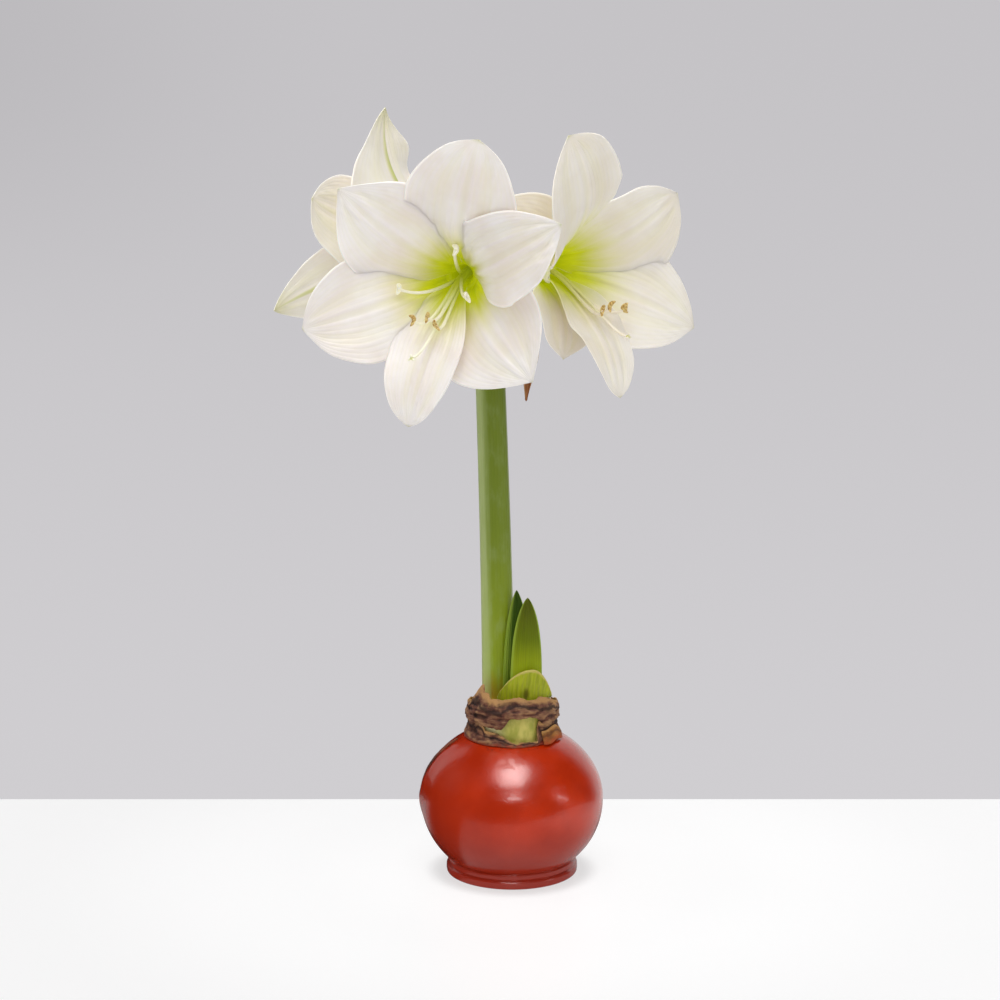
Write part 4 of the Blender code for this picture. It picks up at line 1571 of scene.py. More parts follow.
def leaf_pair() -> tuple[YoungLeaf, YoungLeaf]:
    """The two young leaves, one in front of the other.

    Returns:
        The leaves, on the floor of their hole in the bulb.
    """
    foot_z = SOCKET_FLOOR_Z + GAP
    front = YoungLeaf(
        name="leaf_front",
        foot=Vector((0.0074, -0.0113, foot_z)),
        tip=Vector((0.0083, -0.0082, 0.1560)),
        aside=Vector((1, 0, 0)),
        half=0.0094,
        sharpness=3.0,
    )
    back = YoungLeaf(
        name="leaf_back",
        foot=Vector((0.0040, -0.0026, foot_z)),
        tip=Vector((0.0024, -0.0020, 0.1587)),
        aside=Vector((-1, 0, 0)),
        half=0.0098,
        sharpness=1.9,
    )
    return front, back


@dataclass
class Scape:
    """The one thick flower stem, from its hole in the bulb up to the blooms' stalks."""

    finish: Finish = StemFinish("scape_green")

    def centre(self, share: float) -> Vector:
        """The stem's middle: upright at the foot, with more lean near the top."""
        middle = SCAPE_FOOT.lerp(SCAPE_TOP, share**1.5)
        middle.z = SCAPE_FOOT.z + (SCAPE_TOP.z - SCAPE_FOOT.z) * share
        return middle

    def radius(self, share: float, turn: float) -> float:
        """The stem's radius, with faint flutes and a rounded shoulder at the top.

        Args:
            share: The share of its length.
            turn: The way round it, in radians.

        Returns:
            The radius.
        """
        body = SCAPE_FOOT_RADIUS + (SCAPE_TOP_RADIUS - SCAPE_FOOT_RADIUS) * share
        flutes = 1 + 0.004 * math.cos(14 * turn + 2 * share) + 0.006 * math.cos(2 * turn)
        shoulder = math.sqrt(max(1 - (max(share - 0.994, 0.0) / 0.009) ** 2, 0.0))
        return body * flutes * shoulder

    def build(self) -> None:
        """Makes the stem."""
        mesh = tube(150, 72, self.centre, self.radius, Vector((0, 1, 0)))
        add_piece("flower_stem", mesh, [self.finish.material()], "scape")


@dataclass
class Spathe:
    """A withered bract that leaves the top of the stem on one side, bends over and hangs down."""

    name: str
    bearing: float
    reach: float
    drop: float
    half: float
    look: Material
    thickness: float = 0.0006

    def half_width(self, along: float) -> float:
        """Half the bract's width at a share of its length."""
        swell = 0.40 + 0.60 * math.sin(math.pi * along)
        return self.half * swell * max(1 - along**6, 0.0) ** 0.9

    def relief(self, along: float, across: float) -> float:
        """Lengthwise pleats and crumples."""
        spot = Vector((across * 0.010, along * 0.030, self.bearing))
        pleats = 0.00030 * math.cos(9 * math.pi * across / 2 + 2 * wander(spot, 0.012))
        return (pleats + 0.0005 * wander(spot, 0.005)) * smooth(along / 0.2)

    def build(self) -> None:
        """Makes the bract."""
        away = Vector((math.sin(self.bearing), -math.cos(self.bearing), 0.0))
        foot = SCAPE_TOP + away * (SCAPE_TOP_RADIUS + SKIN_THICKNESS / 2 + GAP + 0.0001)
        foot.z -= 0.0070
        controls = (
            foot,
            foot + UP * 0.014 + away * 0.0015,
            foot + UP * 0.012 + away * self.reach * 1.3,
            foot + UP * -self.drop + away * self.reach,
        )
        across = UP.cross(away)
        strap = Strap(controls, across, SCAPE_TOP_RADIUS + SKIN_THICKNESS, self.half_width)
        mesh = blade(44, 110, strap.place, lambda along, across: self.thickness, self.relief, back=0)
        add_piece(self.name + "_paper", mesh, [self.look], self.name)


class Whorl(Enum):
    """A bloom's two rings of tepals, by how far each stands forward of the middle surface."""

    OUTER = -0.0011
    INNER = 0.0011


@dataclass
class Tepal:
    """One of a bloom's six tepals.

    Seen from the bloom's front, clock is where it points, in degrees clockwise from up. Its midrib leaves the
    tube along the bloom's axis and leans out to belly and then tip degrees from it. A higher blunt or a lower
    point narrows it towards its tip. lean makes its right half fuller than its left, and curl rolls the left
    margin back. fold scales its broad folds and ribs. creases lie across it, from -1 at its left margin to 1.
    lime below 1 draws the lime of the throat in.
    """

    clock: float
    length: float
    width: float
    belly: float = 45.0
    tip: float = 95.0
    whorl: Whorl = Whorl.OUTER
    widest: float = 0.58
    blunt: float = 0.65
    cup: float = 8.0
    wave: float = 0.0020
    phase: float = 0.0
    point: float = 0.0
    lean: float = 0.0
    curl: float = 0.0
    fold: float = 1.0
    creases: tuple[float, ...] = (-0.42, 0.38)
    crease_depth: float = 0.0006
    lime: float = 1.0
    tube_radius: float = 0.0045
    tube_spread: float = 8.0
    foot_half: float = 0.0030
    thickness: float = 0.0011
    thinner: float = 0.0004
    fold_depth: float = 0.0015
    ruffle_depth: float = 0.0018
    channel_depth: float = 0.00055
    shoulder_height: float = 0.00028
    shoulder_side: float = 0.0030
    rib_depth: float = 0.00015
    rib_pitch: float = 0.0043
    steps: int = 160
    midrib: Outline = field(default_factory=list)

    def __post_init__(self) -> None:
        """Lays out the midrib, whose tilt lags by half of one of the model's forty steps."""
        radius, height = self.tube_radius, 0.0
        for step in range(self.steps + 1):
            self.midrib.append((radius, height))
            share = max((step + 0.5) / self.steps - 1 / 80, 0.0)
            tilt = math.radians(bow(self.tube_spread, self.belly, self.tip, share))
            radius += math.sin(tilt) * self.length / self.steps
            height += math.cos(tilt) * self.length / self.steps

    def share_at(self, along: float) -> float:
        """The share of the tepal's length for a row, with rows closer together at its tip."""
        return 1 - (1 - along) ** 1.35

    def half_at(self, share: float) -> float:
        """Half the tepal's width, narrowed near the tip where it has a point.

        Args:
            share: The share of its length.

        Returns:
            Half the width.
        """
        full = self.width / 2
        if share < self.widest:
            return self.foot_half + (full - self.foot_half) * smooth(share / self.widest) ** 1.25
        rest = (share - self.widest) / (1 - self.widest)
        half = full * max(1 - rest**2.2, 0.0) ** self.blunt
        half *= 1 + 0.05 * wander(Vector((share, self.phase, 0.0)), 0.16) * smooth((1 - share) / 0.1)
        limit = self.point * self.length * (1 - share)
        if not self.point or not half or not limit:
            return half
        return (half**-4 + limit**-4) ** -0.25

    def place(self, along: float, across: float) -> Vector:
        """The middle surface in the bloom's frame: a trough in the tube that opens to a waved blade.

        Args:
            along: 0 at its foot to 1 at its tip.
            across: -1 at its left edge to 1 at its right edge.

        Returns:
            The point.
        """
        share = self.share_at(along)
        index = min(int(share * self.steps), self.steps - 1)
        part = share * self.steps - index
        radius, height = (a + (b - a) * part for a, b in zip(self.midrib[index], self.midrib[index + 1]))
        tilt = math.radians(bow(self.tube_spread, self.belly, self.tip, share))
        clock = math.radians(self.clock)
        out = Vector((math.sin(clock), math.cos(clock), 0.0))
        aside = Vector((math.cos(clock), -math.sin(clock), 0.0))
        face = Vector((0, 0, math.sin(tilt))) - out * math.cos(tilt)
        half = self.half_at(share)
        fuller = self.lean if across > 0 else -self.lean
        spread = across * half * (1 + fuller * smooth(share / 0.3))
        trough = max(math.cos(tilt), 0.0) / max(radius, 0.004)
        bend = trough + (self.cup - trough) * smooth(share / 0.5)
        turn = max(min(bend * spread, 1.4), -1.4)
        lateral = math.sin(turn) / bend
        lift = (1 - math.cos(turn)) / bend
        crest = self.wave * across**2 * 2 * half / self.width
        lift += crest * math.sin(3.2 * math.pi * share + self.phase + (1.9 if across > 0 else 0.0))
        lift += self.whorl.value * smooth(share / 0.12)
        lift -= self.curl * min(across, 0.0) ** 2 * hump(share, 0.78, 0.11)
        lift += self.flutter(share, spread, across, half)
        return out * radius + UP * height + aside * lateral + face * lift

    def flutter(self, share: float, spread: float, across: float, half: float) -> float:
        """Broad folds over the blade and a finer ruffle along its margins.

        Args:
            share: The share of the tepal's length.
            spread: The way from its midrib, in metres.
            across: The same as a share of its half width there.
            half: That half width.

        Returns:
            How far they lift the surface.
        """
        spot = Vector((spread, share * self.length * 0.45, self.phase))
        folds = self.fold_depth * self.fold * wander(spot, 0.017)
        folds = folds * smooth(share / 0.3) * smooth((1.02 - share) / 0.15)
        edge = Vector((share * self.length, 0.02 * math.copysign(1, across), self.phase))
        ruffle = self.ruffle_depth * abs(across) ** 5 * wander(edge, 0.012) * smooth(share / 0.25)
        return folds + ruffle * half / self.width * 2

    def relief(self, along: float, across: float) -> float:
        """The midrib's channel, the ribs beside it, which fade towards the margins, and the creases.

        Args:
            along: 0 at its foot to 1 at its tip.
            across: -1 at its left edge to 1 at its right edge.

        Returns:
            How far the surface stands forward.
        """
        share = self.share_at(along)
        spread = across * self.half_at(share)
        fade = smooth(share / 0.12) * smooth((1.0 - share) / 0.12)
        channel = -self.channel_depth * hump(spread, 0.0, 0.0014) * (1 - 0.6 * share)
        side = self.shoulder_side
        shoulders = self.shoulder_height * (hump(spread, side, 0.0015) + hump(spread, -side, 0.0015))
        waver = 0.0020 * wander(Vector((share * 0.1, self.phase, 0)), 0.02)
        fainter = 0.5 + 0.5 * wander(Vector((spread, share * self.length * 0.3, self.phase)), 0.012)
        turn = math.tau * (abs(spread) - side + waver) / self.rib_pitch
        ribs = self.rib_depth * self.fold * fainter * math.cos(turn)
        ribs *= smooth((1 - abs(across)) / 0.35) * smooth(abs(spread) / side)
        drift = 0.10 * wander(Vector((share, self.phase, 1.0)), 0.30)
        pleats = sum(hump(across + drift, crease, 0.13) for crease in self.creases)
        pleats *= self.crease_depth * smooth(share / 0.5)
        return (channel + shoulders + ribs - pleats) * fade

    def wall(self, along: float, across: float) -> float:
        """The tepal's thickness: most along its midrib, least at its margins."""
        share = self.share_at(along)
        return (self.thickness - self.thinner * across * across) * (1 - 0.35 * share)

    def mesh(self) -> BMesh:
        """The tepal's solid.

        Returns:
            Its mesh, with lime applied to its V, and material 1 or 2 on an outer or inner tepal's back.
        """
        back = 1 if self.whorl is Whorl.OUTER else 2
        mesh = blade(46, 84, self.place, self.wall, self.relief, back)
        surface = mesh.loops.layers.uv[UV_MAP]
        for face in mesh.faces:
            for loop in face.loops:
                loop[surface].uv.y = max(loop[surface].uv.y, 0.0) ** self.lime
        return mesh


@dataclass
class Bloom:
    """A bloom: six tepals on a short tube, with its stamens, its style and its stalk.

    The stamens' and the style's ends are in the bloom's own frame: right, up and forward of the foot.
    """

    name: str
    foot: Vector
    heading: float
    lift: float
    tepals: tuple[Tepal, ...]
    anthers: tuple[Spot, ...]
    stigma: Spot
    pedicel_clock: float
    tube_length: float = 0.014
    tube_floor: float = 0.002
    ovary_length: float = 0.013
    ovary_radius: float = 0.0044
    pedicel_radius: float = 0.0028
    pedicel_ring: float = 0.0042
    filament_radius: float = 0.00115
    filament_droop: float = 0.011
    lobe_radius: float = 0.00055
    pad_radius: float = 0.0027
    pad_depth: float = 0.0025
    anther_half: float = 0.0031
    ripe: int = 3

    def frame(self) -> Matrix:
        """The bloom's frame.

        Returns:
            X right, Y up and Z along its axis, with the origin at the tube's foot.
        """
        heading, lift = math.radians(self.heading), math.radians(self.lift)
        axis = Vector((
            math.sin(heading) * math.cos(lift),
            -math.cos(heading) * math.cos(lift),
            math.sin(lift),
        ))
        up = (UP - axis * axis.z).normalized()
        made = Matrix((up.cross(axis), up, axis)).transposed().to_4x4()
        made.translation = self.foot
        return made

    def tube(self) -> BMesh:
        """The short tube that the tepals stand on, closed at its foot and open at its mouth.

        Returns:
            Its solid, with material 0 inside and 1 outside.
        """
        inside, outside = [], []
        length = 0.100
        for radius, height in Tepal(0, length, 0.05).midrib[::2]:
            if height < self.tube_length:
                wall = 0.0008 + 0.0008 * height / self.tube_length
                inside.append((radius - wall, max(height, self.tube_floor)))
                outside.append((radius + wall, height))
        profile = [(0.0, self.tube_floor)] + inside[2:] + outside[::-1] + [(0.0, 0.0)]
        mesh = turned(profile, 40)
        surface = mesh.loops.layers.uv.new(UV_MAP)
        for face in mesh.faces:
            middle = face.calc_center_median()
            face.material_index = 1 if face.normal.dot(Vector((middle.x, middle.y, 0))) > 0 else 0
            for loop in face.loops:
                loop[surface].uv = (0.30, loop.vert.co.z / length)
        return mesh

    def build_petals(self, looks: Looks) -> None:
        """Makes the tube and the six tepals.

        Args:
            looks: Materials of the tepals' fronts, the outer ones' backs and the inner ones' backs.
        """
        whole = gather([self.tube()] + [tepal.mesh() for tepal in self.tepals])
        bmesh.ops.transform(whole, matrix=self.frame(), verts=whole.verts)
        add_piece("tepals_" + self.name, whole, looks, "bloom_" + self.name)

    def filament(self, end: Vector, lean: float, droop: float) -> BMesh:
        """A stamen's stalk or the style, which dips towards the lower tepals and turns up at its end.

        Args:
            end: Where it ends, in the bloom's frame.
            lean: Where it stands in the tube, in radians clockwise from up.
            droop: How far its middle hangs below its end.

        Returns:
            The stalk's solid.
        """
        reach = max((end.z - 0.030) / 0.026, 0.0)
        start = Vector((0.0016 * math.sin(lean), 0.0016 * math.cos(lean), 0.0035))
        controls = (
            start,
            Vector((0.1 * end.x, 0.1 * end.y, 0.5 * end.z)) + start * 0.5,
            Vector((0.45 * end.x, end.y - droop * reach, 0.84 * end.z)),
            end,
        )

        def radius(share: float, turn: float) -> float:
            """The radius, less towards the end."""
            return self.filament_radius * (1 - 0.42 * share)

        return tube(36, 12, partial(bezier, controls), radius, Vector((1, 0, 0)), tip=0.03)

    def anther(self, end: Vector, number: int) -> BMesh:
        """A curled anther that rides on its stalk's end by its middle.

        Args:
            end: The stalk's end, in the bloom's frame.
            number: The stamen's number, which turns it.

        Returns:
            The anther's solid.
        """
        along = Vector((0.35 * math.sin(2.3 * number), 0.9, 0.3)).normalized()
        side = along.cross(UP).normalized()
        hook = along.cross(side) * 0.0010 + side * 0.0008 * math.cos(1.7 * number)
        plump = 0.00118 if number < self.ripe else 0.00150

        def path(share: float) -> Vector:
            """The hooked middle line."""
            reach = 2 * share - 1
            return end + along * self.anther_half * reach + hook * (1 - 2.2 * reach * reach)

        def radius(share: float, turn: float) -> float:
            """The radius, split by a groove on each side."""
            body = plump * max(math.sin(math.pi * share), 0.0) ** 0.45
            groove = 1 - 0.30 * hump(turn, math.pi / 2, 0.45) - 0.22 * hump(turn, -math.pi / 2, 0.35)
            return body * groove * (1 + 0.09 * wander(Vector((turn, share * 6, number)), 0.9))

        return tube(22, 18, path, radius, side)

    def stigma_lobes(self) -> list[BMesh]:
        """The style's three short lobes, curled outwards.

        Returns:
            Their solids.
        """
        end = Vector(self.stigma)
        lobes = []
        for number in range(3):
            turn = math.tau * number / 3
            out = Vector((math.sin(turn), math.cos(turn), 0.0))
            controls = (
                end,
                end + UP * 0.0012,
                end + out * 0.0012 + UP * 0.0018,
                end + out * 0.0021 + UP * 0.0010,
            )
            side = out.cross(UP)
            lobes.append(
                tube(12, 10, partial(bezier, controls), lambda share, turn: self.lobe_radius, side, tip=0.3)
            )
        return lobes

    def build_stamens(self, looks: Looks) -> None:
        """Makes the stamens and the style on a small pad in the bottom of the tube.

        Args:
            looks: Materials of the stalks, the ripe anthers and the pale ones.
        """
        pad = bmesh.new()
        pad.loops.layers.uv.new(UV_MAP)
        bmesh.ops.create_cone(
            pad, cap_ends=True, segments=28, radius1=self.pad_radius, radius2=0.0024, depth=self.pad_depth
        )
        bmesh.ops.translate(pad, vec=(0, 0, self.tube_floor + GAP + self.pad_depth / 2), verts=pad.verts)
        parts = [pad]
        for number, end in enumerate(self.anthers):
            parts.append(self.filament(Vector(end), math.tau * number / 6, self.filament_droop))
            look = 1 if number < self.ripe else 2
            parts.append(set_look(self.anther(Vector(end), number), look))
        parts.append(self.filament(Vector(self.stigma), 0.0, 0.0))
        parts += self.stigma_lobes()
        whole = gather(parts)
        bmesh.ops.transform(whole, matrix=self.frame(), verts=whole.verts)
        add_piece("filaments_" + self.name, whole, looks, "stamens_" + self.name)

    def build_pedicel(self, look: Material) -> None:
        """Makes the bloom's stalk, from the top of the stem to its ovary under the tube.

        Args:
            look: The stalk's material.
        """
        axis = self.frame().to_3x3() @ UP
        clock = math.radians(self.pedicel_clock)
        ring = self.pedicel_ring
        start = SCAPE_TOP + Vector((ring * math.cos(clock), ring * math.sin(clock), GAP))
        ovary = self.foot - axis * (self.ovary_length + GAP)
        rise = (ovary.z - start.z) * 0.6
        controls = (start, start + UP * rise, ovary - axis * 0.010, ovary)
        bend = 0.72

        def path(share: float) -> Vector:
            """The bent stalk's middle line, and then the ovary's straight one."""
            if share < bend:
                return bezier(controls, share / bend)
            return ovary + axis * self.ovary_length * (share - bend) / (1 - bend)

        def radius(share: float, turn: float) -> float:
            """The stalk's radius, which swells to the ovary's three lobes."""
            swell = smooth((share - bend + 0.02) / 0.10)
            body = self.pedicel_radius + (self.ovary_radius * 0.97 - self.pedicel_radius) * swell
            lobes = 1 + swell * (0.05 * math.cos(3 * turn) + 0.012 * math.cos(6 * turn))
            return body * lobes * (1 - 0.08 * smooth((share - 0.93) / 0.07))

        mesh = tube(84, 36, path, radius, axis.cross(UP))
        add_piece("stalk_" + self.name, mesh, [look], "pedicel_" + self.name)


def front_bloom() -> Bloom:
    """The bloom nearest the viewer.

    Returns:
        The bloom, with its tepals clockwise from the top.
    """
    return Bloom(
        name="front",
        foot=Vector((-0.0225, -0.0360, 0.3365)),
        heading=-15.0,
        lift=-3.0,
        tepals=(
            Tepal(18, 0.113, 0.060, blunt=0.55, point=3.0, fold=1.3, lime=0.86, phase=0.4),
            Tepal(
                61, 0.106, 0.049, belly=46, tip=90, whorl=Whorl.INNER, blunt=0.8, cup=14, point=1.4,
                fold=2.4, creases=(-0.52, -0.10, 0.36), crease_depth=0.0012, lime=0.74, phase=1.5,
            ),
            Tepal(135, 0.088, 0.067, belly=50, blunt=0.5, point=1.6, phase=2.6),
            Tepal(193, 0.099, 0.037, whorl=Whorl.INNER, point=2.6, lean=0.1, creases=(-0.5, 0.3), phase=3.7),
            Tepal(253, 0.103, 0.056, point=2.0, phase=4.8),
            Tepal(
                316, 0.099, 0.064, tip=90, whorl=Whorl.INNER, widest=0.62, blunt=0.6, point=1.4,
                lean=0.12, lime=0.9, phase=5.9,
            ),
        ),
        anthers=(
            (-0.0144, -0.0158, 0.056),
            (-0.0065, -0.0140, 0.056),
            (-0.0019, -0.0179, 0.056),
            (-0.0240, -0.0020, 0.047),
            (0.0042, 0.0178, 0.041),
            (0.0095, -0.0066, 0.038),
        ),
        stigma=(-0.0118, -0.0330, 0.066),
        pedicel_clock=-145.0,
    )


def right_bloom() -> Bloom:
    """The bloom that looks to the right.

    Returns:
        The bloom, with its tepals clockwise from the top.
    """
    return Bloom(
        name="right",
        foot=Vector((0.0080, -0.0120, 0.3370)),
        heading=47.0,
        lift=0.0,
        tepals=(
            Tepal(-34, 0.124, 0.066, tip=98, widest=0.64, blunt=0.5, point=2.2, lean=-0.18, phase=0.9),
            Tepal(52, 0.090, 0.058, belly=36, tip=90, whorl=Whorl.INNER, point=2.0, lean=0.12, phase=2.0),
            Tepal(119, 0.100, 0.056, belly=44, tip=90, blunt=0.75, point=1.2, phase=3.1),
            Tepal(177, 0.093, 0.036, belly=40, tip=90, whorl=Whorl.INNER, point=2.2, phase=4.2),
            Tepal(191, 0.061, 0.048, belly=50, tip=100, blunt=0.5, point=1.8, phase=5.3),
            Tepal(297, 0.091, 0.046, belly=68, tip=125, whorl=Whorl.INNER, phase=0.5),
        ),
        anthers=(
            (-0.0042, -0.0187, 0.056),
            (0.0025, -0.0173, 0.056),
            (0.0134, -0.0194, 0.056),
            (-0.0060, 0.0025, 0.019),
            (-0.0065, -0.0015, 0.020),
            (-0.0055, -0.0050, 0.019),
        ),
        stigma=(0.0030, -0.0320, 0.066),
        pedicel_clock=-25.0,
    )


def left_bloom() -> Bloom:
    """The bloom that looks away to the left, seen from behind.

    Returns:
        The bloom, with its tepals clockwise from the top.
    """
    return Bloom(
        name="left",
        foot=Vector((-0.0200, 0.0160, 0.3380)),
        heading=-112.0,
        lift=4.0,
        tepals=(
            Tepal(
                0, 0.101, 0.090, tip=101, widest=0.5, blunt=0.85, cup=1, point=1.15,
                lean=0.36, curl=0.008, phase=1.1,
            ),
            Tepal(66, 0.103, 0.051, tip=90, whorl=Whorl.INNER, point=2.0, phase=2.2),
            Tepal(112, 0.119, 0.048, tip=78, widest=0.5, blunt=0.95, point=1.3, phase=3.3),
            Tepal(182, 0.090, 0.044, whorl=Whorl.INNER, phase=4.4),
            Tepal(240, 0.102, 0.050, phase=5.5),
            Tepal(300, 0.082, 0.046, whorl=Whorl.INNER, phase=0.3),
        ),
        anthers=(
            (-0.0100, -0.0180, 0.055),
            (0.0010, -0.0150, 0.057),
            (0.0090, -0.0170, 0.055),
            (0.0140, -0.0060, 0.045),
            (-0.0030, 0.0060, 0.038),
            (-0.0120, -0.0050, 0.043),
        ),
        stigma=(0.0020, -0.0310, 0.066),
        pedicel_clock=95.0,
        ripe=6,
    )


# Studio


class Lights(Enum):
    """What a studio light acts on."""

    ALL = "all"
    GLOSS = "gloss"
    COLOUR = "colour"


@dataclass
class SoftLight:
    """A soft light, square or oval, that looks at a point of the model.

    acts_on keeps it to the surfaces' gloss or to their colour alone.
    """

    name: str
    place: Spot
    target: Spot
    size: tuple[float, float]
    watts: float
    acts_on: Lights = Lights.ALL
    oval: bool = False

    def build(self) -> None:
        """Makes the light."""
        lamp = bpy.data.lights.new(self.name, "AREA")
        lamp.shape = "ELLIPSE" if self.oval else "RECTANGLE"
        lamp.size, lamp.size_y = self.size
        lamp.energy = self.watts
        made = bpy.data.objects.new(self.name, lamp)
        made.location = self.place
        made.rotation_euler = (Vector(self.target) - Vector(self.place)).to_track_quat("-Z", "Y").to_euler()
        made.visible_diffuse = self.acts_on is not Lights.GLOSS
        made.visible_glossy = self.acts_on is not Lights.COLOUR
        bpy.context.scene.collection.objects.link(made)


@dataclass
class Studio:
    """The white table top, the grey room, the lights and the camera."""

    table_back_y: float = 0.127
    table_front_y: float = -1.6
    table_half: float = 1.6
    table_depth: float = 0.02
    table_edge: float = 0.002
    camera_place: Spot = (-0.0066, -1.5, 0.52)
    camera_tilt: float = 78.25
    lens: float = 102.6
    sensor: float = 36.0
    wall_low: Colour = paint("D0CED1")
    wall_high: Colour = paint("C5C3C6")
    wall_corner_shade: Colour = paint("B8B6B9")
    room: float = 0.555
    mirrored_left: float = 0.006
    mirrored_right: float = 0.8
    core_layers: int = 7
    core_glow: float = 1.6

    def build_table(self) -> None:
        """Makes the table top, whose far edge crosses the picture behind the bulb."""
        mesh = bmesh.new()
        bmesh.ops.create_cube(mesh, size=1.0)
        depth = self.table_back_y - self.table_front_y
        bmesh.ops.scale(mesh, vec=(2 * self.table_half, depth, self.table_depth), verts=mesh.verts)
        middle = (0.0, (self.table_back_y + self.table_front_y) / 2, -self.table_depth / 2)
        bmesh.ops.translate(mesh, vec=middle, verts=mesh.verts)
        edges = mesh.edges[:]
        bmesh.ops.bevel(
            mesh, geom=edges, offset=self.table_edge, segments=3, profile=0.5, affect="EDGES", material=-1
        )
        table = new_object("table_top", mesh, [TableFinish("table_white").material()])
        table.data.shade_flat()

    def build_room(self) -> None:
        """Lights the scene evenly, shows the camera a grey wall with painted shade, darker higher up and in
        its upper left corner, and mirrors it on the right alone.
        """
        world = bpy.data.worlds.new("room")
        world.use_nodes = True
        world.node_tree.nodes.clear()
        graph = Graph(world.node_tree)
        seen = graph.add("ShaderNodeLightPath")
        across, deep, height = graph.parts(graph.add("ShaderNodeTexCoord").outputs["Generated"])
        # Painted shade on the wall: darker higher up and in its upper left corner
        wall = graph.wash(self.wall_low, self.wall_high, height, -0.33, -0.02)
        high = graph.remap(height, -0.16, -0.04)
        corner = graph.times(graph.remap(across, -0.04, -0.20, 0.0, 0.7), high)
        wall = graph.mix(corner, wall, self.wall_corner_shade)
        right = graph.times(graph.remap(across, 0.0, 0.18), graph.remap(deep, 0.42, 0.80))
        side = graph.remap(right, 0.0, 1.0, self.mirrored_left, self.mirrored_right)
        lit = graph.add("ShaderNodeBackground", {"Color": (1, 1, 1, 1), "Strength": self.room})
        glossy = graph.add("ShaderNodeBackground", {"Color": side, "Strength": 1.0})
        shown = graph.add("ShaderNodeBackground", {"Color": wall, "Strength": 1.0})
        mixed = lit.outputs[0]
        for ray, other in (("Is Glossy Ray", glossy), ("Is Camera Ray", shown)):
            inputs = {0: seen.outputs[ray], 1: mixed, 2: other.outputs[0]}
            mixed = graph.add("ShaderNodeMixShader", inputs).outputs[0]
        graph.add("ShaderNodeOutputWorld", {"Surface": mixed})
        bpy.context.scene.world = world

    def build_camera(self) -> None:
        """Makes the camera at the picture's viewing angle."""
        lens = bpy.data.cameras.new("view")
        lens.lens = self.lens
        lens.sensor_width = self.sensor
        camera = bpy.data.objects.new("view", lens)
        camera.location = self.camera_place
        camera.rotation_euler = (math.radians(self.camera_tilt), 0.0, 0.0)
        bpy.context.scene.collection.objects.link(camera)
        bpy.context.scene.camera = camera

    def build_lights(self) -> None:
        """Makes the window above, with its brighter middle, and the fill and rim lights."""
        wax, blooms = (0.0, 0.0, 0.06), (0.0, 0.0, 0.30)
        lights = [
            SoftLight("window", (0.02, -0.64, 1.75), (0.0, 0.0, 0.10), (0.8, 1.4), 12.3),
            SoftLight("left_fill", (-0.9, -1.3, 0.9), blooms, (0.9, 0.9), 1.5, Lights.COLOUR),
            SoftLight("right_fill", (1.0, -1.25, 0.8), blooms, (0.7, 0.9), 1.3, Lights.COLOUR),
            SoftLight("left_back", (-1.37, 0.37, 0.81), (0.0, 0.0, 0.25), (0.7, 0.9), 5.0, Lights.COLOUR),
            SoftLight("left_card", (-0.82, 0.82, 0.52), wax, (0.34, 0.9), 0.62, Lights.GLOSS),
            SoftLight("right_spot", (1.30, -0.60, 0.53), (0.0, 0.0, 0.05), (0.06, 0.24), 1.0, Lights.GLOSS),
            SoftLight("right_glint", (1.40, -0.45, 0.34), (0.0, 0.0, 0.05), (0.05, 0.22), 0.4, Lights.GLOSS),
        ]
        for layer in range(self.core_layers):
            size = (1.36 - 0.155 * layer, 1.80 - 0.20 * layer)
            watts = math.pi**2 / 4 * size[0] * size[1] * self.core_glow
            place = (0.0, -0.74 + 0.030 * layer, 1.72 + 0.012 * layer)
            name = "window_core_" + str(layer)
            lights.append(SoftLight(name, place, wax, size, watts, Lights.GLOSS, oval=True))
        low = (0.08, -1.50, 1.00)
        lights.append(SoftLight("window_low", low, wax, (0.55, 0.24), 4.0, Lights.GLOSS, oval=True))
        for light in lights:
            light.build()

    def build(self) -> None:
        """Makes the whole studio."""
        bpy.context.scene.view_settings.view_transform = "Standard"
        self.build_camera()
        self.build_table()
        self.build_room()
        self.build_lights()


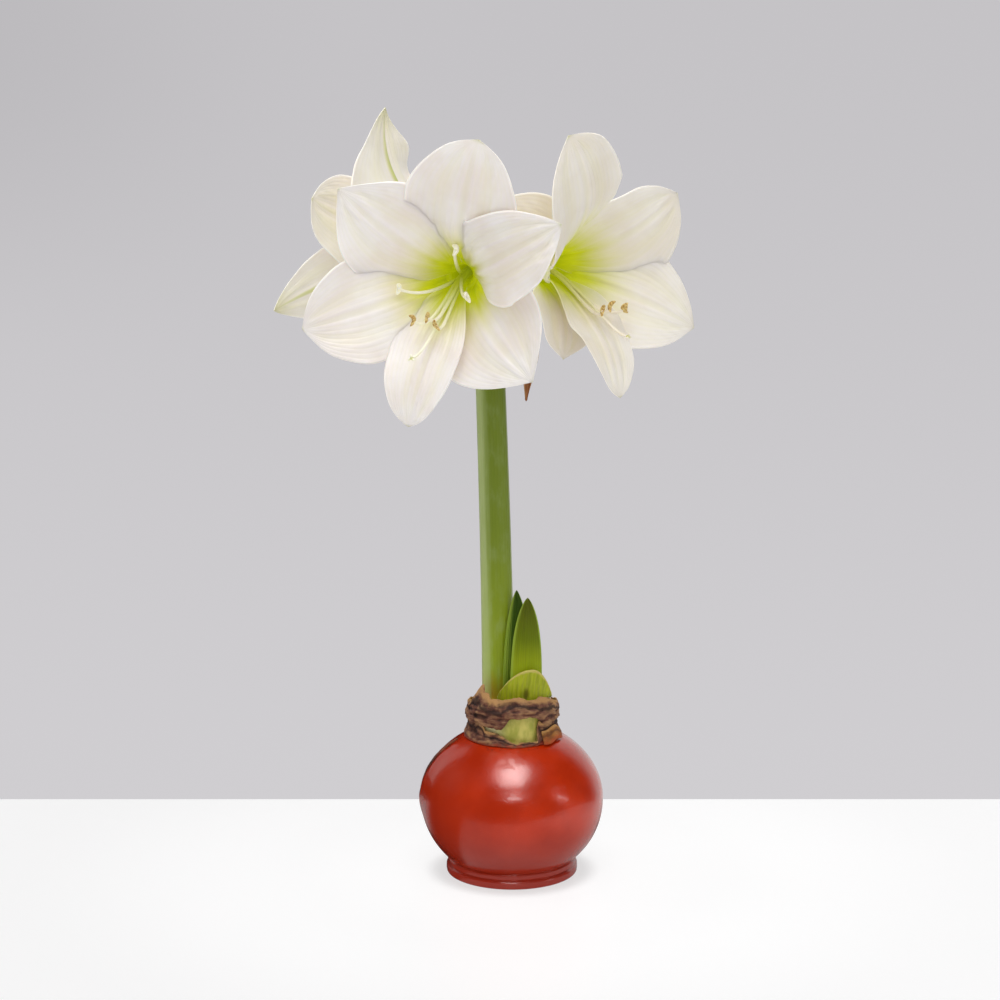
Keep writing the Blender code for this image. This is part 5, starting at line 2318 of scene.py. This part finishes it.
def petal_looks(name: str, white: Colour, cream: Colour, reach: float = 1.0) -> list[Material]:
    """Makes the materials of a bloom's tepals.

    Args:
        name: Goes into the materials' names.
        white: The tepals' body colour.
        cream: The colour of the clouds in it.
        reach: How far up their fronts the lime goes, next to the front bloom's.

    Returns:
        The tepals' fronts, the outer tepals' backs and the inner tepals' backs.
    """
    outer, inner = name + "_outer_tepal_back", name + "_inner_tepal_back"
    finishes = (
        PetalFinish(name + "_tepal_front", white, cream, reach=reach),
        PetalFinish(outer, white, cream, reach=0.85, keel_strength=0.9, tip_start=0.72),
        PetalFinish(inner, white, cream, reach=0.80, keel_strength=0.22),
    )
    return [finish.material() for finish in finishes]


def main() -> None:
    """Builds the studio and every sub-assembly, in order."""
    logging.basicConfig(level=logging.INFO, format="%(name)s %(message)s")
    Studio().build()
    wax = WaxCoat()
    wax.build()
    BulbFlesh(wax).build()
    DrySkins().build()
    LeafSheath().build()
    # Painted shade: the leaves' inner faces take darker greens than their outer faces
    inside = LeafFinish(
        "leaf_inner_shaded", paint("5E7810"), paint("3A5A0A"), paint("2E4A0A"), left_lit_margin=0.06, right_lit_margin=0.30
    )
    leaf_green = [LeafFinish("leaf_outer").material(), inside.material()]
    for leaf in leaf_pair():
        leaf.build(leaf_green)
    Scape().build()
    paper = BractFinish("withered_bract").material()
    Spathe("spathe_front", math.radians(50), 0.0174, 0.0275, 0.0112, paper).build()
    Spathe("spathe_back", math.radians(-118), 0.013, 0.020, 0.0080, paper).build()
    petals = {
        "front": petal_looks("white", paint("FCF4EF"), paint("F3E6DE")),
        "right": petal_looks("cream", paint("F8F0E6"), paint("EFE4D6"), 0.98),
        "left": petal_looks("pale_green", paint("FEF6EE"), paint("F5ECE2")),
    }
    near = FilamentFinish("filament").material()
    faint = FilamentFinish("faint_filament", foot=paint("D2D46A"), cream=paint("EEE4D4")).material()
    filaments = {"front": near, "right": faint, "left": near}
    anthers = [
        PollenFinish("ripe_anther").material(),
        PollenFinish("pale_anther", light=paint("FFFCEC"), dark=paint("F2EECC")).material(),
    ]
    stalk_green = StemFinish(
        "stalk_green", foot=paint("6B7D26"), low=paint("728528"), top=paint("8A9C3A")
    ).material()
    for bloom in (front_bloom(), right_bloom(), left_bloom()):
        bloom.build_petals(petals[bloom.name])
        bloom.build_stamens([filaments[bloom.name]] + anthers)
        bloom.build_pedicel(stalk_green)


if __name__ == "__main__":
    main()
